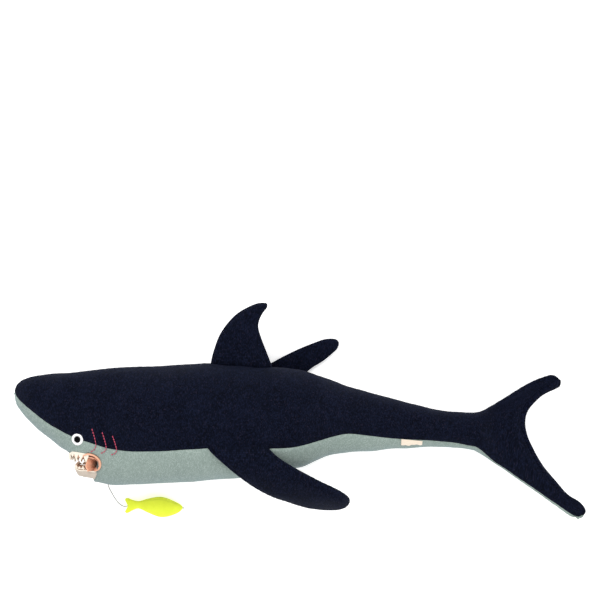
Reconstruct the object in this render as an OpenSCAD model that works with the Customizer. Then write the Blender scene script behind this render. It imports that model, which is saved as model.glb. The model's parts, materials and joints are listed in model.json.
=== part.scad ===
// Plush shark lying on its right side, with a small felt fish on a thread.
// X runs from the nose to the tail, +Y is the shark's back, +Z is its left side, which faces up.
// The origin is the middle of the flattened right flank, on the surface that the shark lies on.

/* [Body] */
// Length from the nose to the tip of the lower tail lobe
body_length = 694; // [560:1:840]
// Depth from back to belly at the deepest place
body_depth = 140; // [116:1:170]
// Width from flank to flank at the widest place
body_width = 126; // [104:1:152]
// Thickness of the knitted cover
fabric = 1.6; // [1.2:0.1:2]
// Gap between the cover and the stuffing
stuffing_gap = 0.5; // [0.3:0.1:0.7]

/* [Fins] */
// Height of the dorsal fin above the back
dorsal_height = 74; // [60:1:90]
// Thickness of the dorsal fin at its root
dorsal_thickness = 18; // [14:1:22]
// Length of each pectoral fin along its span
pectoral_span = 116; // [96:1:140]
// Thickness of the upper pectoral fin
pectoral_thickness = 16; // [12:1:19]
// Thickness of the lower pectoral fin, pressed under the body
tucked_thickness = 8.4; // [7:0.1:10.2]
// Thickness of the tail fin
tail_fin_thickness = 23; // [19:1:28]

/* [Joints] */
// Half of the open angle at each side of the tail joint, in degrees
tail_wedge = 10.6; // [10.6:0.1:13]
// Gap between a fin root and the body
root_gap = 0.8; // [0.5:0.1:1.5]
// Gap behind the lower jaw
jaw_gap = 4; // [3.4:0.1:5]

/* [Face] */
// Outer diameter of the white eye ring
eye_d = 14; // [11:0.5:17]
// Diameter of the black pupil
pupil_d = 9; // [7:0.5:10.5]
// Height of the felt teeth
tooth_h = 5; // [4:0.5:6]
// Half width of the lower jaw at its hinge
jaw_half_w = 34; // [29:1:35]

/* [Fish] */
// Length of the fish from tail to nose
fish_length = 71; // [58:1:86]
// Height of the fish
fish_depth = 25; // [20:1:30]
// Thickness of the fish
fish_thickness = 14; // [11:1:17]
// Diameter of the thread that holds the fish
cord_d = 1.2; // [1:0.1:1.5]

/* [Hidden] */

// How far each driving size is from the one that the section table below was drawn at.
kx = body_length / 694;
ky = body_depth / 140;
kz = body_width / 126;

// Sections of the body from the nose to the tail: distance from the nose, back, belly, side seam,
// half width, and height of the centre line above the surface that the shark lies on.
SECTIONS = [
    [0, 47.5, 42, 45, 3, 59],
    [3, 55, 30, 41, 11, 59],
    [8, 59.5, 23, 37, 17, 59],
    [14, 62, 16, 32.5, 22.5, 59],
    [22, 64, 8, 26.5, 28, 59],
    [33, 65.5, -2, 18.5, 33, 59],
    [46, 67.3, -12, 10.5, 37, 59],
    [57, 68.5, -21, 5, 40, 59],
    [66, 69.3, -27, 0, 42, 59],
    [72, 69.8, -36, -2.5, 43, 59],
    [80, 70.7, -48, -5.5, 45, 59],
    [90, 71.8, -56, -8.5, 47, 59],
    [103.8, 73.3, -61.5, -12.5, 50, 59],
    [104.2, 73.3, -61.6, -12.6, 50, 59],
    [120, 74.3, -65, -17, 53.5, 59],
    [145, 75.8, -64.5, -20, 58, 59],
    [175, 77.2, -63, -19.6, 62, 59],
    [205, 78.8, -61.5, -17.5, 63, 59],
    [228, 79.2, -60, -16.2, 63, 59],
    [245, 78.5, -58.8, -15.6, 62.4, 59],
    [280, 76.6, -55.8, -15, 60.2, 59],
    [310, 75, -50.8, -14.4, 56.5, 55.2],
    [330, 73, -47.2, -14, 53.6, 52.4],
    [345, 71, -44.6, -13.2, 51, 49.5],
    [361, 66.2, -38.6, -9.5, 48, 46.4],
    [380, 58.9, -32, -5.4, 44, 42.4],
    [401, 50.6, -28.9, -3.4, 39.5, 38],
    [429, 42.1, -28, -7.5, 34.4, 33],
    [457, 34.9, -25.4, -11, 30.3, 29],
    [489, 26.2, -24.3, -14, 26.5, 25.3],
    [519, 19.6, -24.6, -16, 23.5, 22.4],
    [546, 18.4, -28, -20, 21.4, 20.5]
];
NOSE = 0;
MOUTH_BACK = 13;
HEAD_END = 16;
TAIL_JOINT = 28;
TAIL_BODY_END = len(SECTIONS) - 1;

// Roundness of a section: 2 is an ellipse, more is boxier.
roundness = 2.3;
// Middle of the flattened flank in the table's own distances.
rest_s = 180;
rest_y = 5;
// Steps across a side panel, the belly panel and round the stuffing.
side_steps = 14;
belly_steps = 16;
ring_steps = 24;
// The body is lifted by this much where the lower pectoral fin lies under it.
tuck_lift = tucked_thickness + 1.1;
// Half the thickness of a seam at the rim of a fin.
stuffing_inset = fabric + stuffing_gap;
rim = stuffing_inset + 0.1;
// Extra room round the head filling, where the roof of the mouth makes a sharp edge.
head_extra = 0.7;

// ---------- small helpers ----------
function lerp(a, b, t) = a + (b - a) * t;
function clamp01(t) = min(max(t, 0), 1);
function smooth(t) = let (c = clamp01(t)) c * c * (3 - 2 * c);
function power(x, p) = sign(x) * pow(abs(x), p);
function mean(points) = [for (k = [0:2]) sum([for (p = points) p[k]]) / len(points)];
function sum(list, i = 0) = i < len(list) ? list[i] + sum(list, i + 1) : 0;
function unit(v) = v / norm(v);

// A smooth curve through a list of points, t from 0 to 1.
function spline(pts, t) =
    let (
        n = len(pts) - 1,
        x = clamp01(t) * n,
        i = min(floor(x), n - 1),
        f = x - i,
        a = pts[max(i - 1, 0)],
        b = pts[i],
        c = pts[i + 1],
        d = pts[min(i + 2, n)]
    )
    b + 0.5 * f * (c - a + f * (2 * a - 5 * b + 4 * c - d + f * (3 * (b - c) + d - a)));

// Puts a shape drawn in distances from the nose into the part's own frame.
module place() {
    translate([-rest_s * kx, -rest_y * ky, 0]) children();
}

// A sheet with thickness: two grids of points with the same rows and columns, closed at all edges.
module sheet_solid(outer, inner, flip = false) {
    m = len(outer);
    n = len(outer[0]);
    size = m * n;
    function o(i, j) = i * n + j;
    function q(i, j) = size + i * n + j;
    faces = concat(
        [for (i = [0:m - 2], j = [0:n - 2]) each [
            [o(i, j), o(i + 1, j), o(i + 1, j + 1)],
            [o(i, j), o(i + 1, j + 1), o(i, j + 1)],
            [q(i + 1, j + 1), q(i + 1, j), q(i, j)],
            [q(i, j + 1), q(i + 1, j + 1), q(i, j)]
        ]],
        [for (j = [0:n - 2]) each [
            [o(0, j), o(0, j + 1), q(0, j + 1)],
            [o(0, j), q(0, j + 1), q(0, j)],
            [o(m - 1, j + 1), o(m - 1, j), q(m - 1, j)],
            [o(m - 1, j + 1), q(m - 1, j), q(m - 1, j + 1)]
        ]],
        [for (i = [0:m - 2]) each [
            [o(i + 1, 0), o(i, 0), q(i, 0)],
            [o(i + 1, 0), q(i, 0), q(i + 1, 0)],
            [o(i, n - 1), o(i + 1, n - 1), q(i, n - 1)],
            [o(i + 1, n - 1), q(i + 1, n - 1), q(i, n - 1)]
        ]]
    );
    polyhedron(
        points = concat([for (r = outer) each r], [for (r = inner) each r]),
        faces = flip ? [for (f = faces) [f[2], f[1], f[0]]] : faces
    );
}

// A solid swept through closed rings of points, with a cap at each end. A flat end joins each point
// of the last ring to the one across from it, for an edge that bends.
module ring_solid(rings, flip = false, flat_end = false) {
    m = len(rings);
    n = len(rings[0]);
    size = m * n;
    function p(i, j) = i * n + j % n;
    faces = concat(
        [for (i = [0:m - 2], j = [0:n - 1]) each [
            [p(i, j), p(i + 1, j), p(i + 1, j + 1)],
            [p(i, j), p(i + 1, j + 1), p(i, j + 1)]
        ]],
        [for (j = [0:n - 1]) [p(0, j), p(0, j + 1), size]],
        flat_end
            ? [for (j = [0:n / 2 - 1]) each [
                if (j < n / 2 - 1) [p(m - 1, j + 1), p(m - 1, j), p(m - 1, n - 1 - j)],
                if (j == n / 2 - 1) [p(m - 1, j + 1), p(m - 1, j), p(m - 1, n - j)],
                if (j > 0 && j < n / 2 - 1) [p(m - 1, j), p(m - 1, n - j), p(m - 1, n - 1 - j)]
            ]]
            : [for (j = [0:n - 1]) [p(m - 1, j + 1), p(m - 1, j), size + 1]]
    );
    polyhedron(
        points = concat([for (r = rings) each r], [mean(rings[0])], flat_end ? [] : [mean(rings[m - 1])]),
        faces = flip ? [for (f = faces) [f[2], f[1], f[0]]] : faces
    );
}

// A thread: a round tube through a list of points.
module thread(route, d, sides = 8) {
    n = len(route);
    rings = [for (i = [0:n - 1])
        let (
            along = unit(route[min(i + 1, n - 1)] - route[max(i - 1, 0)]),
            side = unit(cross(along, abs(along[2]) > 0.9 ? [1, 0, 0] : [0, 0, 1])),
            up = cross(side, along)
        )
        [for (k = [0:sides - 1]) route[i] + d / 2 * (side * cos(360 * k / sides) + up * sin(360 * k / sides))]
    ];
    ring_solid(rings);
}

// ---------- body surface ----------
// Height of the surface that the right flank rests on, with room for the tucked pectoral fin.
lift_start = [212, 228];
lift_end = [376, 398];
function floor_z(s) =
    let (
        up = (s / kx - lift_start[0]) / (lift_start[1] - lift_start[0]),
        down = (s / kx - lift_end[0]) / (lift_end[1] - lift_end[0])
    )
    tuck_lift * smooth(up) * (1 - smooth(down));

// Underside of the snout, which is the roof of the mouth. It tilts, so the mouth gapes on the left.
function palate_y(s, z) = ky * (-32 - 0.2 * (s / kx - 80) + 0.2 * (z / kz - 60));

// One point of the body: section index, angle from the back over the left flank, depth below the cover.
function body_point(i, angle, inset) =
    let (
        r = SECTIONS[i],
        wall = i == NOSE || i == MOUTH_BACK - 1 || i == MOUTH_BACK ? inset : 0,
        top = r[1] * ky - inset,
        bottom = r[2] * ky + inset,
        y = (top + bottom) / 2 + (top - bottom) / 2 * power(cos(angle), 2 / roundness),
        z = r[5] * kz + (r[4] * kz - inset) * power(sin(angle), 2 / roundness),
        s = r[0] * kx + wall,
        in_mouth = i < MOUTH_BACK && r[0] > 60
    )
    [s, in_mouth ? max(y, palate_y(s, z) + inset) : y, max(z, floor_z(s) + inset + max(inset - fabric, 0))];

// Angle at which the side seam crosses a section.
function seam_angle(i) =
    let (
        r = SECTIONS[i],
        t = (r[3] - (r[1] + r[2]) / 2) / ((r[1] - r[2]) / 2)
    )
    acos(power(t, roundness / 2));

// Place on the left (+1) or right (-1) flank at a distance from the nose and a height on the side.
function flank_point(s, y, side, lift) =
    let (
        i = min([for (k = [1:TAIL_BODY_END]) if (SECTIONS[k][0] * kx >= s) k]),
        a = SECTIONS[i - 1],
        b = SECTIONS[i],
        f = (s / kx - a[0]) / (b[0] - a[0]),
        r = lerp(a, b, f),
        t = (y / ky - (r[1] + r[2]) / 2) / ((r[1] - r[2]) / 2),
        w = pow(1 - pow(abs(t), roundness), 1 / roundness),
        z = r[5] * kz + side * (r[4] * kz * w + lift)
    )
    [s, y, max(z, lift)];

// The two sides of the tail joint are V-shaped, so that the tail can bend both ways.
function joint_s(p, ahead) =
    let (r = SECTIONS[TAIL_JOINT], back = abs(p[2] - r[5] * kz) * tan(tail_wedge) + 0.3)
    [r[0] * kx + ahead * back, p[1], p[2]];

function front_point(i, angle, inset) =
    i == TAIL_JOINT ? joint_s(body_point(i, angle, inset), -1) : body_point(i, angle, inset);

// ---------- tail surface ----------
// Upper leading edge, lower leading edge and trailing edge of the tail fin, as distance and height.
TAIL_UPPER = [[558, 19.5], [588, 35], [617, 50], [640, 60], [655, 64], [662, 60]];
TAIL_LOWER = [[558, -31], [588, -50.5], [622, -73], [656, -97], [681, -113], [692, -112]];
TAIL_TRAIL = [[692, -112], [695, -104], [688, -94], [670, -81], [647, -54], [628, -23],
    [620, 3], [624, 21], [640, 36], [656, 47], [662, 52], [662, 60]];
fin_rings = 12;

// A fan between the straight edge where the tail ends and the forked trailing edge.
function tail_plan(t, v) =
    let (
        up = spline(TAIL_UPPER, t),
        low = spline(TAIL_LOWER, t),
        trail = spline(TAIL_TRAIL, v),
        start = lerp(TAIL_LOWER[0], TAIL_UPPER[0], v),
        corners = lerp(lerp(TAIL_LOWER[0], TAIL_UPPER[0], v), lerp(TAIL_TRAIL[0], TAIL_UPPER[5], v), t)
    )
    lerp(low, up, v) + lerp(start, trail, t) - corners;

function tail_half(t) =
    let (rounding = sqrt(max(1 - pow(clamp01((t - 0.5) / 0.5), 2.5), 0)))
    max(lerp(20.6 * kz, tail_fin_thickness / 2, smooth(t / 0.4)) * rounding, rim);

function tail_fin_point(t, angle, inset) =
    let (
        tt = t * (1 - inset / (110 * kx)),
        height = lerp(50, 150, tt) * ky,
        v = 0.5 + 0.5 * power(cos(angle), lerp(2 / roundness, 1, t)) * (1 - 2 * inset / height),
        plan = tail_plan(tt, v),
        half = tail_half(t) - inset,
        mid = lerp(19.9 * kz, tail_fin_thickness / 2 + 0.2, smooth(t / 0.5))
    )
    [plan[0] * kx, plan[1] * ky, max(mid + half * power(sin(angle), lerp(2 / roundness, 0.8, t)), inset)];

// One point of the whole tail: the rings of the tail's own body, then the rings of its fin.
tail_rings = TAIL_BODY_END - TAIL_JOINT + 1 + fin_rings + 1;
function tail_point(k, angle, inset) =
    let (i = TAIL_JOINT + k)
    i == TAIL_JOINT ? joint_s(body_point(i, angle, inset), 1)
    : i <= TAIL_BODY_END ? body_point(i, angle, inset)
    : tail_fin_point((i - TAIL_BODY_END - 1) / fin_rings, angle, inset);

// The grey strip narrows along the lower lobe.
function tail_seam_angle(k) =
    let (i = TAIL_JOINT + k, t = (i - TAIL_BODY_END) / (fin_rings + 1))
    i <= TAIL_BODY_END ? seam_angle(i) : lerp(seam_angle(TAIL_BODY_END), 163, smooth(t * 3));

// ---------- fin surface ----------
// A fin is ruled between its leading and trailing edges, each a list of distance and span.
DORSAL_LEAD = [[236, 0], [239, 17], [247, 38], [263, 58], [281, 69], [295, 74]];
DORSAL_TRAIL = [[311, -2.5], [303, 13], [295, 33], [292, 47], [296, 60], [301.5, 69]];
PECTORAL_LEAD = [[235, 0], [251, 15], [286, 47], [322, 79], [352, 104], [386, 116]];
PECTORAL_TRAIL = [[303, 0], [324, 15], [361, 39], [389, 60], [401, 82], [398, 107]];

// Plan place of a fin: t runs from root to tip, v from the leading to the trailing edge.
function fin_plan(lead, trail, t, v) = lerp(spline(lead, t), spline(trail, t), v);

// Thickness runs round at the root over a share of the span, and at the tip.
function fin_round(t, root) =
    sqrt(max(1 - pow(clamp01(1 - t / root), 2), 0)) * sqrt(max(1 - pow(clamp01((t - 0.72) / 0.28), 2), 0));

// Distance along the fin, span, and height off the fin's middle plane.
function fin_point(lead, trail, t, angle, inset, half, root, span) =
    let (
        tt = lerp(inset / span, 1 - inset / span, t),
        chord = norm(spline(trail, tt) - spline(lead, tt)),
        v = 0.5 - 0.5 * cos(angle) * (1 - 2 * inset / chord),
        plan = fin_plan(lead, trail, tt, v)
    )
    [plan[0], plan[1], (max(half * fin_round(t, root), rim) - inset) * power(sin(angle), 0.8)];

function dorsal_point(t, angle, inset) =
    let (p = fin_point(DORSAL_LEAD, DORSAL_TRAIL, t, angle, inset, dorsal_thickness / 2, 0.14, 74))
    [p[0] * kx, 78.6 * ky + root_gap + p[1] * dorsal_height / 74, 59 * kz + p[2]];

// The upper pectoral fin curves over the flank and then hangs towards the surface.
bend_r = 70;
bend_end = 62;
function pectoral_point(t, angle, inset) =
    let (
        p = fin_point(PECTORAL_LEAD, PECTORAL_TRAIL, t, angle, inset, pectoral_thickness / 2, 0.24, 116),
        b = p[1] * pectoral_span / 116,
        turn = min(b / bend_r * 180 / PI, bend_end),
        rest = max(b - bend_r * bend_end * PI / 180, 0),
        y = bend_r * sin(turn) + rest * cos(turn) + p[2] * sin(turn),
        z = bend_r * (1 - cos(turn)) + rest * sin(turn) - p[2] * cos(turn)
    )
    [p[0] * kx, -16 * ky - y, 117 * kz + 0.15 * pectoral_thickness + rim + root_gap - z];

// The lower pectoral fin lies flat under the body, swept back and pressed narrow towards its tip.
TUCKED_LEAD = [[235, 0], [243, 34], [264, 68], [303, 92], [340, 110], [376, 123]];
TUCKED_TRAIL = [[303, 0], [311, 24], [326, 52], [350, 82], [372, 98], [389, 112]];
function tucked_point(t, angle, inset) =
    let (p = fin_point(TUCKED_LEAD, TUCKED_TRAIL, t, angle, inset, tucked_thickness / 2, 0.1, 116))
    [p[0] * kx, -16 * ky + p[1] * pectoral_span / 116, tucked_thickness / 2 + 0.05 + p[2]];

// ---------- body nodes ----------
navy = [0.09, 0.10, 0.16];
grey = [0.60, 0.67, 0.64];
fill = [0.95, 0.95, 0.93];
felt = [0.96, 0.93, 0.86];

module body_panel(first, last, from, to, steps) {
    place()
        sheet_solid(
            [for (i = [first:last]) [for (j = [0:steps])
                front_point(i, lerp(from(i), to(i), j / steps), 0)]],
            [for (i = [first:last]) [for (j = [0:steps])
                front_point(i, lerp(from(i), to(i), j / steps), fabric)]]
        );
}

module left_side_panel() {
    color(navy)
        body_panel(NOSE, TAIL_JOINT, function(i) 0, function(i) seam_angle(i), side_steps);
}

module right_side_panel() {
    color(navy)
        body_panel(NOSE, TAIL_JOINT, function(i) 360 - seam_angle(i), function(i) 360, side_steps);
}

module belly_panel() {
    color(grey)
        body_panel(
            NOSE, TAIL_JOINT, function(i) seam_angle(i), function(i) 360 - seam_angle(i), belly_steps
        );
}

module body_filling(first, last, inset) {
    color(fill)
        place()
            ring_solid([for (i = [first:last]) [for (j = [0:ring_steps - 1])
                front_point(i, 360 * j / ring_steps, inset)]]);
}

module head_stuffing() {
    body_filling(NOSE, HEAD_END, stuffing_inset + head_extra);
}

module torso_stuffing() {
    body_filling(HEAD_END, TAIL_JOINT, stuffing_inset);
}

// ---------- tail nodes ----------
module tail_panel(from, to, steps) {
    place()
        sheet_solid(
            [for (k = [0:tail_rings - 1]) [for (j = [0:steps])
                tail_point(k, lerp(from(k), to(k), j / steps), 0)]],
            [for (k = [0:tail_rings - 1]) [for (j = [0:steps])
                tail_point(k, lerp(from(k), to(k), j / steps), fabric)]]
        );
}

module tail_left_panel() {
    color(navy) tail_panel(function(k) 0, function(k) tail_seam_angle(k), 10);
}

module tail_right_panel() {
    color(navy) tail_panel(function(k) 360 - tail_seam_angle(k), function(k) 360, 10);
}

module tail_belly_strip() {
    color(grey) tail_panel(function(k) tail_seam_angle(k), function(k) 360 - tail_seam_angle(k), 10);
}

module tail_stuffing() {
    color(fill)
        place()
            ring_solid([for (k = [0:tail_rings - 2]) [for (j = [0:ring_steps - 1])
                tail_point(k, 360 * j / ring_steps, stuffing_inset)]],
                flat_end = true
            );
}

// A folded ribbon caught in the belly seam just behind the tail joint.
label_from = 464;
label_to = 490;
label_h = 8;
module sewn_label() {
    function spot(i, j, lift) =
        flank_point(lerp(label_from, label_to, i / 6) * kx,
            lerp(-11.5, -14.5, i / 6) * ky - label_h * j / 4, 1, lift);
    color(felt)
        place()
            sheet_solid(
                [for (i = [0:6]) [for (j = [0:4]) spot(i, j, 1.7)]],
                [for (i = [0:6]) [for (j = [0:4]) spot(i, j, 0.8)]]
            );
}

// ---------- fin nodes ----------
span_steps = 12;
chord_steps = 10;
module fin_panel(from, to, shape, flip = false) {
    function grid(inset) =
        [for (i = [0:span_steps]) [for (j = [0:chord_steps])
            shape(i / span_steps, lerp(from, to, j / chord_steps), inset)]];
    place() sheet_solid(grid(0), grid(fabric), flip);
}

module fin_filling(shape, flip = false) {
    color(fill)
        place()
            ring_solid(
                [for (i = [0:span_steps]) [for (j = [0:15])
                    shape(i / span_steps, 22.5 * j, stuffing_inset)]],
                flip
            );
}

module dorsal_left_panel() {
    color(navy) fin_panel(0, 180, function(t, a, d) dorsal_point(t, a, d));
}

module dorsal_right_panel() {
    color(navy) fin_panel(180, 360, function(t, a, d) dorsal_point(t, a, d));
}

module dorsal_stuffing() {
    fin_filling(function(t, a, d) dorsal_point(t, a, d));
}

module left_pectoral_top() {
    color(navy) fin_panel(0, 180, function(t, a, d) pectoral_point(t, a, d), true);
}

module left_pectoral_under() {
    color(navy) fin_panel(180, 360, function(t, a, d) pectoral_point(t, a, d), true);
}

module left_pectoral_stuffing() {
    fin_filling(function(t, a, d) pectoral_point(t, a, d), true);
}

module right_pectoral_top() {
    color(navy) fin_panel(0, 180, function(t, a, d) tucked_point(t, a, d));
}

module right_pectoral_under() {
    color(navy) fin_panel(180, 360, function(t, a, d) tucked_point(t, a, d));
}

module right_pectoral_stuffing() {
    fin_filling(function(t, a, d) tucked_point(t, a, d));
}

// ---------- face nodes ----------
eye_s = 82 * kx;
eye_y = -6.8 * ky;
eye_h = 1.2;

// Puts a flat piece on the flank, square to the cover under its middle.
module on_flank(s, y, side) {
    spot = flank_point(s, y, side, 0);
    du = flank_point(s + 4, y, side, 0) - flank_point(s - 4, y, side, 0);
    dv = flank_point(s, y + 4, side, 0) - flank_point(s, y - 4, side, 0);
    out = unit(cross(du, dv)) * side;
    axis = cross([0, 0, 1], out);
    place()
        translate(spot + out * 0.25)
            rotate(a = acos(out[2]), v = norm(axis) > 0 ? axis : [1, 0, 0])
                children();
}

module eye_ring(side) {
    color("white")
        on_flank(eye_s, eye_y, side)
            difference() {
                cylinder(h = eye_h, d = eye_d, $fn = 48);
                translate([0, 0, -1]) cylinder(h = eye_h + 2, d = pupil_d + 0.4, $fn = 48);
            }
}

module pupil(side) {
    color("black") on_flank(eye_s, eye_y, side) cylinder(h = eye_h + 0.6, d = pupil_d, $fn = 48);
}

module left_eye_ring() {
    eye_ring(1);
}

module left_pupil() {
    pupil(1);
}

module right_eye_ring() {
    eye_ring(-1);
}

module right_pupil() {
    pupil(-1);
}

// Three stitched gill lines on each side, each a curve that turns forward below the seam.
GILL = [[99, 6], [102, -4], [103.5, -13], [101, -18.5], [96, -21.5]];
gill_pitch = 11.6;
gill_thread = 1;
module gill_stitches(side) {
    color("crimson")
        place()
            for (k = [0:2])
                thread(
                    [for (n = [0:8])
                        let (p = spline(GILL, n / 8), drop = 3.6 * k * (1 - n / 16))
                        flank_point((p[0] + gill_pitch * k) * kx, (p[1] - drop) * ky, side, 1.1)],
                    gill_thread, 6
                );
}

module left_gill_stitches() {
    gill_stitches(1);
}

module right_gill_stitches() {
    gill_stitches(-1);
}

// ---------- mouth nodes ----------
mouth_front = 70;
mouth_back = 103.6;
lining = 1;
// Half width of the mouth at a distance from the nose.
function mouth_half(s, inset) = (36 * sqrt(clamp01((s - mouth_front + 6) / 30)) - inset) * kz;
function palate_spot(s, w, drop) =
    let (z = 59 * kz + w)
    [s * kx, palate_y(s * kx, z) - drop, z];

module palate_lining() {
    color([0.90, 0.62, 0.52])
        place()
            sheet_solid(
                [for (i = [0:6]) let (s = lerp(mouth_front + 3, mouth_back - 2.4, i / 6))
                    [for (j = [0:8]) palate_spot(s, (j / 4 - 1) * mouth_half(s, 3), 0.2)]],
                [for (i = [0:6]) let (s = lerp(mouth_front + 3, mouth_back - 2.4, i / 6))
                    [for (j = [0:8]) palate_spot(s, (j / 4 - 1) * mouth_half(s, 3), 0.2 + lining)]],
                true
            );
}

// Teeth run round a rim: a strip of felt whose free edge is a zigzag. The rim goes from the right
// corner along the side, straight across the front and back along the left side.
rim_side = 10;
rim_front = 8;
rim_steps = 2 * rim_side + rim_front;
function rim_spot(k, front, back, half) =
    k < rim_side ? let (s = lerp(back, front, k / rim_side)) [s, -half(s)]
    : k > rim_side + rim_front
        ? let (s = lerp(front, back, (k - rim_side - rim_front) / rim_side)) [s, half(s)]
    : [front, lerp(-half(front), half(front), (k - rim_side) / rim_front)];

module upper_teeth() {
    function spot(k, j, inset) =
        let (r = rim_spot(k, mouth_front + inset, mouth_back - 6, function(s) mouth_half(s, inset)))
        palate_spot(r[0], r[1], 0.2 + (j == 0 ? 0 : k % 2 == 0 ? 0.8 : tooth_h));
    color(felt)
        place()
            sheet_solid(
                [for (k = [0:rim_steps]) [for (j = [0:1]) spot(k, j, 0.6)]],
                [for (k = [0:rim_steps]) [for (j = [0:1]) spot(k, j, 1.8)]]
            );
}

// The lining behind the mouth: a curved sheet whose two wings come forward to the mouth corners.
jaw_top = -46;
wing = 30;
module throat_lining() {
    function spot(i, j, back) =
        let (
            w = (i / 7 - 1) * wing,
            s = mouth_back - 2.2 - 12 * pow(abs(w) / wing, 2.4) + back,
            z = 59 * kz + w * kz,
            high = palate_y(s * kx, z) - lining - 0.5
        )
        [s * kx, lerp(high, (jaw_top + 0.5) * ky, j / 4), z];
    color([0.93, 0.63, 0.50])
        place()
            sheet_solid(
                [for (i = [0:14]) [for (j = [0:4]) spot(i, j, 0)]],
                [for (i = [0:14]) [for (j = [0:4]) spot(i, j, lining)]]
            );
}

// ---------- lower jaw ----------
jaw_tip = 73;
jaw_root = 104.2 - jaw_gap;
jaw_steps = 8;
jaw_lining = 1.2;
function jaw_half(s) = jaw_half_w * kz * sqrt(clamp01((s - jaw_tip + 7) / (jaw_root - jaw_tip + 7)));
function jaw_bottom(s) = lerp(-54, -60.5, sqrt(clamp01((s - jaw_tip) / (jaw_root - jaw_tip))));

// A point of the jaw's underside: angle from the left rim under the jaw to the right rim.
function jaw_point(i, angle, inset) =
    let (
        ss = lerp(jaw_tip + inset, jaw_root - inset, i / jaw_steps),
        deep = (jaw_top - jaw_bottom(ss)) * ky - jaw_lining - inset - 0.2,
        y = jaw_top * ky - jaw_lining - 0.2 - deep * pow(sin(angle), 0.7),
        z = 59 * kz + (jaw_half(ss) - inset) * power(cos(angle), 0.8)
    )
    [ss * kx, y, z];

module jaw_cover() {
    color([0.80, 0.77, 0.71])
        place()
            sheet_solid(
                [for (i = [0:jaw_steps]) [for (j = [0:12]) jaw_point(i, 15 * j, 0)]],
                [for (i = [0:jaw_steps]) [for (j = [0:12]) jaw_point(i, 15 * j, fabric)]],
                true
            );
}

module jaw_stuffing() {
    function ring(i) = [
        for (j = [0:12]) jaw_point(i, 15 * j, fabric + 0.2),
        let (a = jaw_point(i, 0, fabric + 0.2)) [a[0], a[1], 59 * kz]
    ];
    color(fill) place() ring_solid([for (i = [0:jaw_steps]) ring(i)], true);
}

module jaw_lining_sheet(high, low) {
    function edge(i) = lerp(jaw_tip, jaw_root, i / jaw_steps);
    function row(i, y) =
        [for (j = [0:6]) [edge(i) * kx, jaw_top * ky - y, 59 * kz + (j / 3 - 1) * jaw_half(edge(i))]];
    sheet_solid(
        [for (i = [0:jaw_steps]) row(i, high)],
        [for (i = [0:jaw_steps]) row(i, low)]
    );
}

module jaw_lining() {
    color([0.92, 0.66, 0.55]) place() jaw_lining_sheet(0, jaw_lining);
}

module lower_teeth() {
    function spot(k, j, inset) =
        let (r = rim_spot(k, jaw_tip + inset, jaw_root - 13, function(s) jaw_half(s) - inset * kz))
        [r[0] * kx, jaw_top * ky + 0.1 + (j == 0 ? 0 : k % 2 == 0 ? 0.8 : tooth_h * 0.7), 59 * kz + r[1]];
    color(felt)
        place()
            sheet_solid(
                [for (k = [0:rim_steps]) [for (j = [0:1]) spot(k, j, 0.8)]],
                [for (k = [0:rim_steps]) [for (j = [0:1]) spot(k, j, 2)]],
                true
            );
}

// ---------- fish and its thread ----------
// Outline of the fish from its tail to its nose: distance from the tail, middle line, half depth.
FISH = [[0, 0, 9.3], [8, 0.5, 6.4], [17, 1, 4.5], [27, 0.2, 8], [38, -1, 11.4], [46, -1.8, 12.4],
    [54, -2.4, 10.8], [63, -2.9, 6.8], [69, -2.8, 2.9], [71, -2.7, 1.9]];
fish_s = 125;
fish_y = -98.8;
fish_mid = fish_thickness / 2 + 0.1;
mouth_corner = [106, -50];

function fish_point(i, angle, inset) =
    let (
        k = fish_length / 71,
        r = FISH[i],
        v = cos(angle),
        notch = 4 * (1 - abs(v)) * (1 - clamp01(r[0] / 17)),
        end = i == 0 ? inset : i == len(FISH) - 1 ? -inset : 0,
        full = lerp(2.4, fish_thickness / 2, smooth((r[0] - 14) / 22)),
        round_nose = sqrt(max(1 - pow(clamp01((r[0] - 48) / 24), 2.2), 0))
    )
    [
        fish_s + (r[0] + notch) * k + end,
        fish_y + r[1] * fish_depth / 25 + max(r[2] * fish_depth / 25 - inset, 0.4) * v,
        fish_mid + (max(full * round_nose, rim) - inset) * power(sin(angle), 0.7)
    ];

// The fish and its thread keep their own size, and follow the corner of the mouth.
module place_fish() {
    translate([mouth_corner[0] * (kx - 1), mouth_corner[1] * (ky - 1), 0])
        translate([-rest_s * kx, -rest_y * ky, 0]) children();
}

module fish_panel(from, to) {
    color([0.86, 0.95, 0.22])
        place_fish()
            sheet_solid(
                [for (i = [0:len(FISH) - 1]) [for (j = [0:8]) fish_point(i, lerp(from, to, j / 8), 0)]],
                [for (i = [0:len(FISH) - 1]) [for (j = [0:8]) fish_point(i, lerp(from, to, j / 8), fabric)]]
            );
}

module fish_top_panel() {
    fish_panel(0, 180);
}

module fish_back_panel() {
    fish_panel(180, 360);
}

module fish_stuffing() {
    color(fill)
        place_fish()
            ring_solid([for (i = [0:len(FISH) - 1]) [for (j = [0:15]) fish_point(i, 22.5 * j, stuffing_inset)]]);
}

module fish_nose_knot() {
    color("white")
        place_fish()
            translate([fish_s + fish_length + 1.6, fish_y - 2.7 * fish_depth / 25, fish_mid])
                sphere(d = 2.6, $fn = 24);
}

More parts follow.
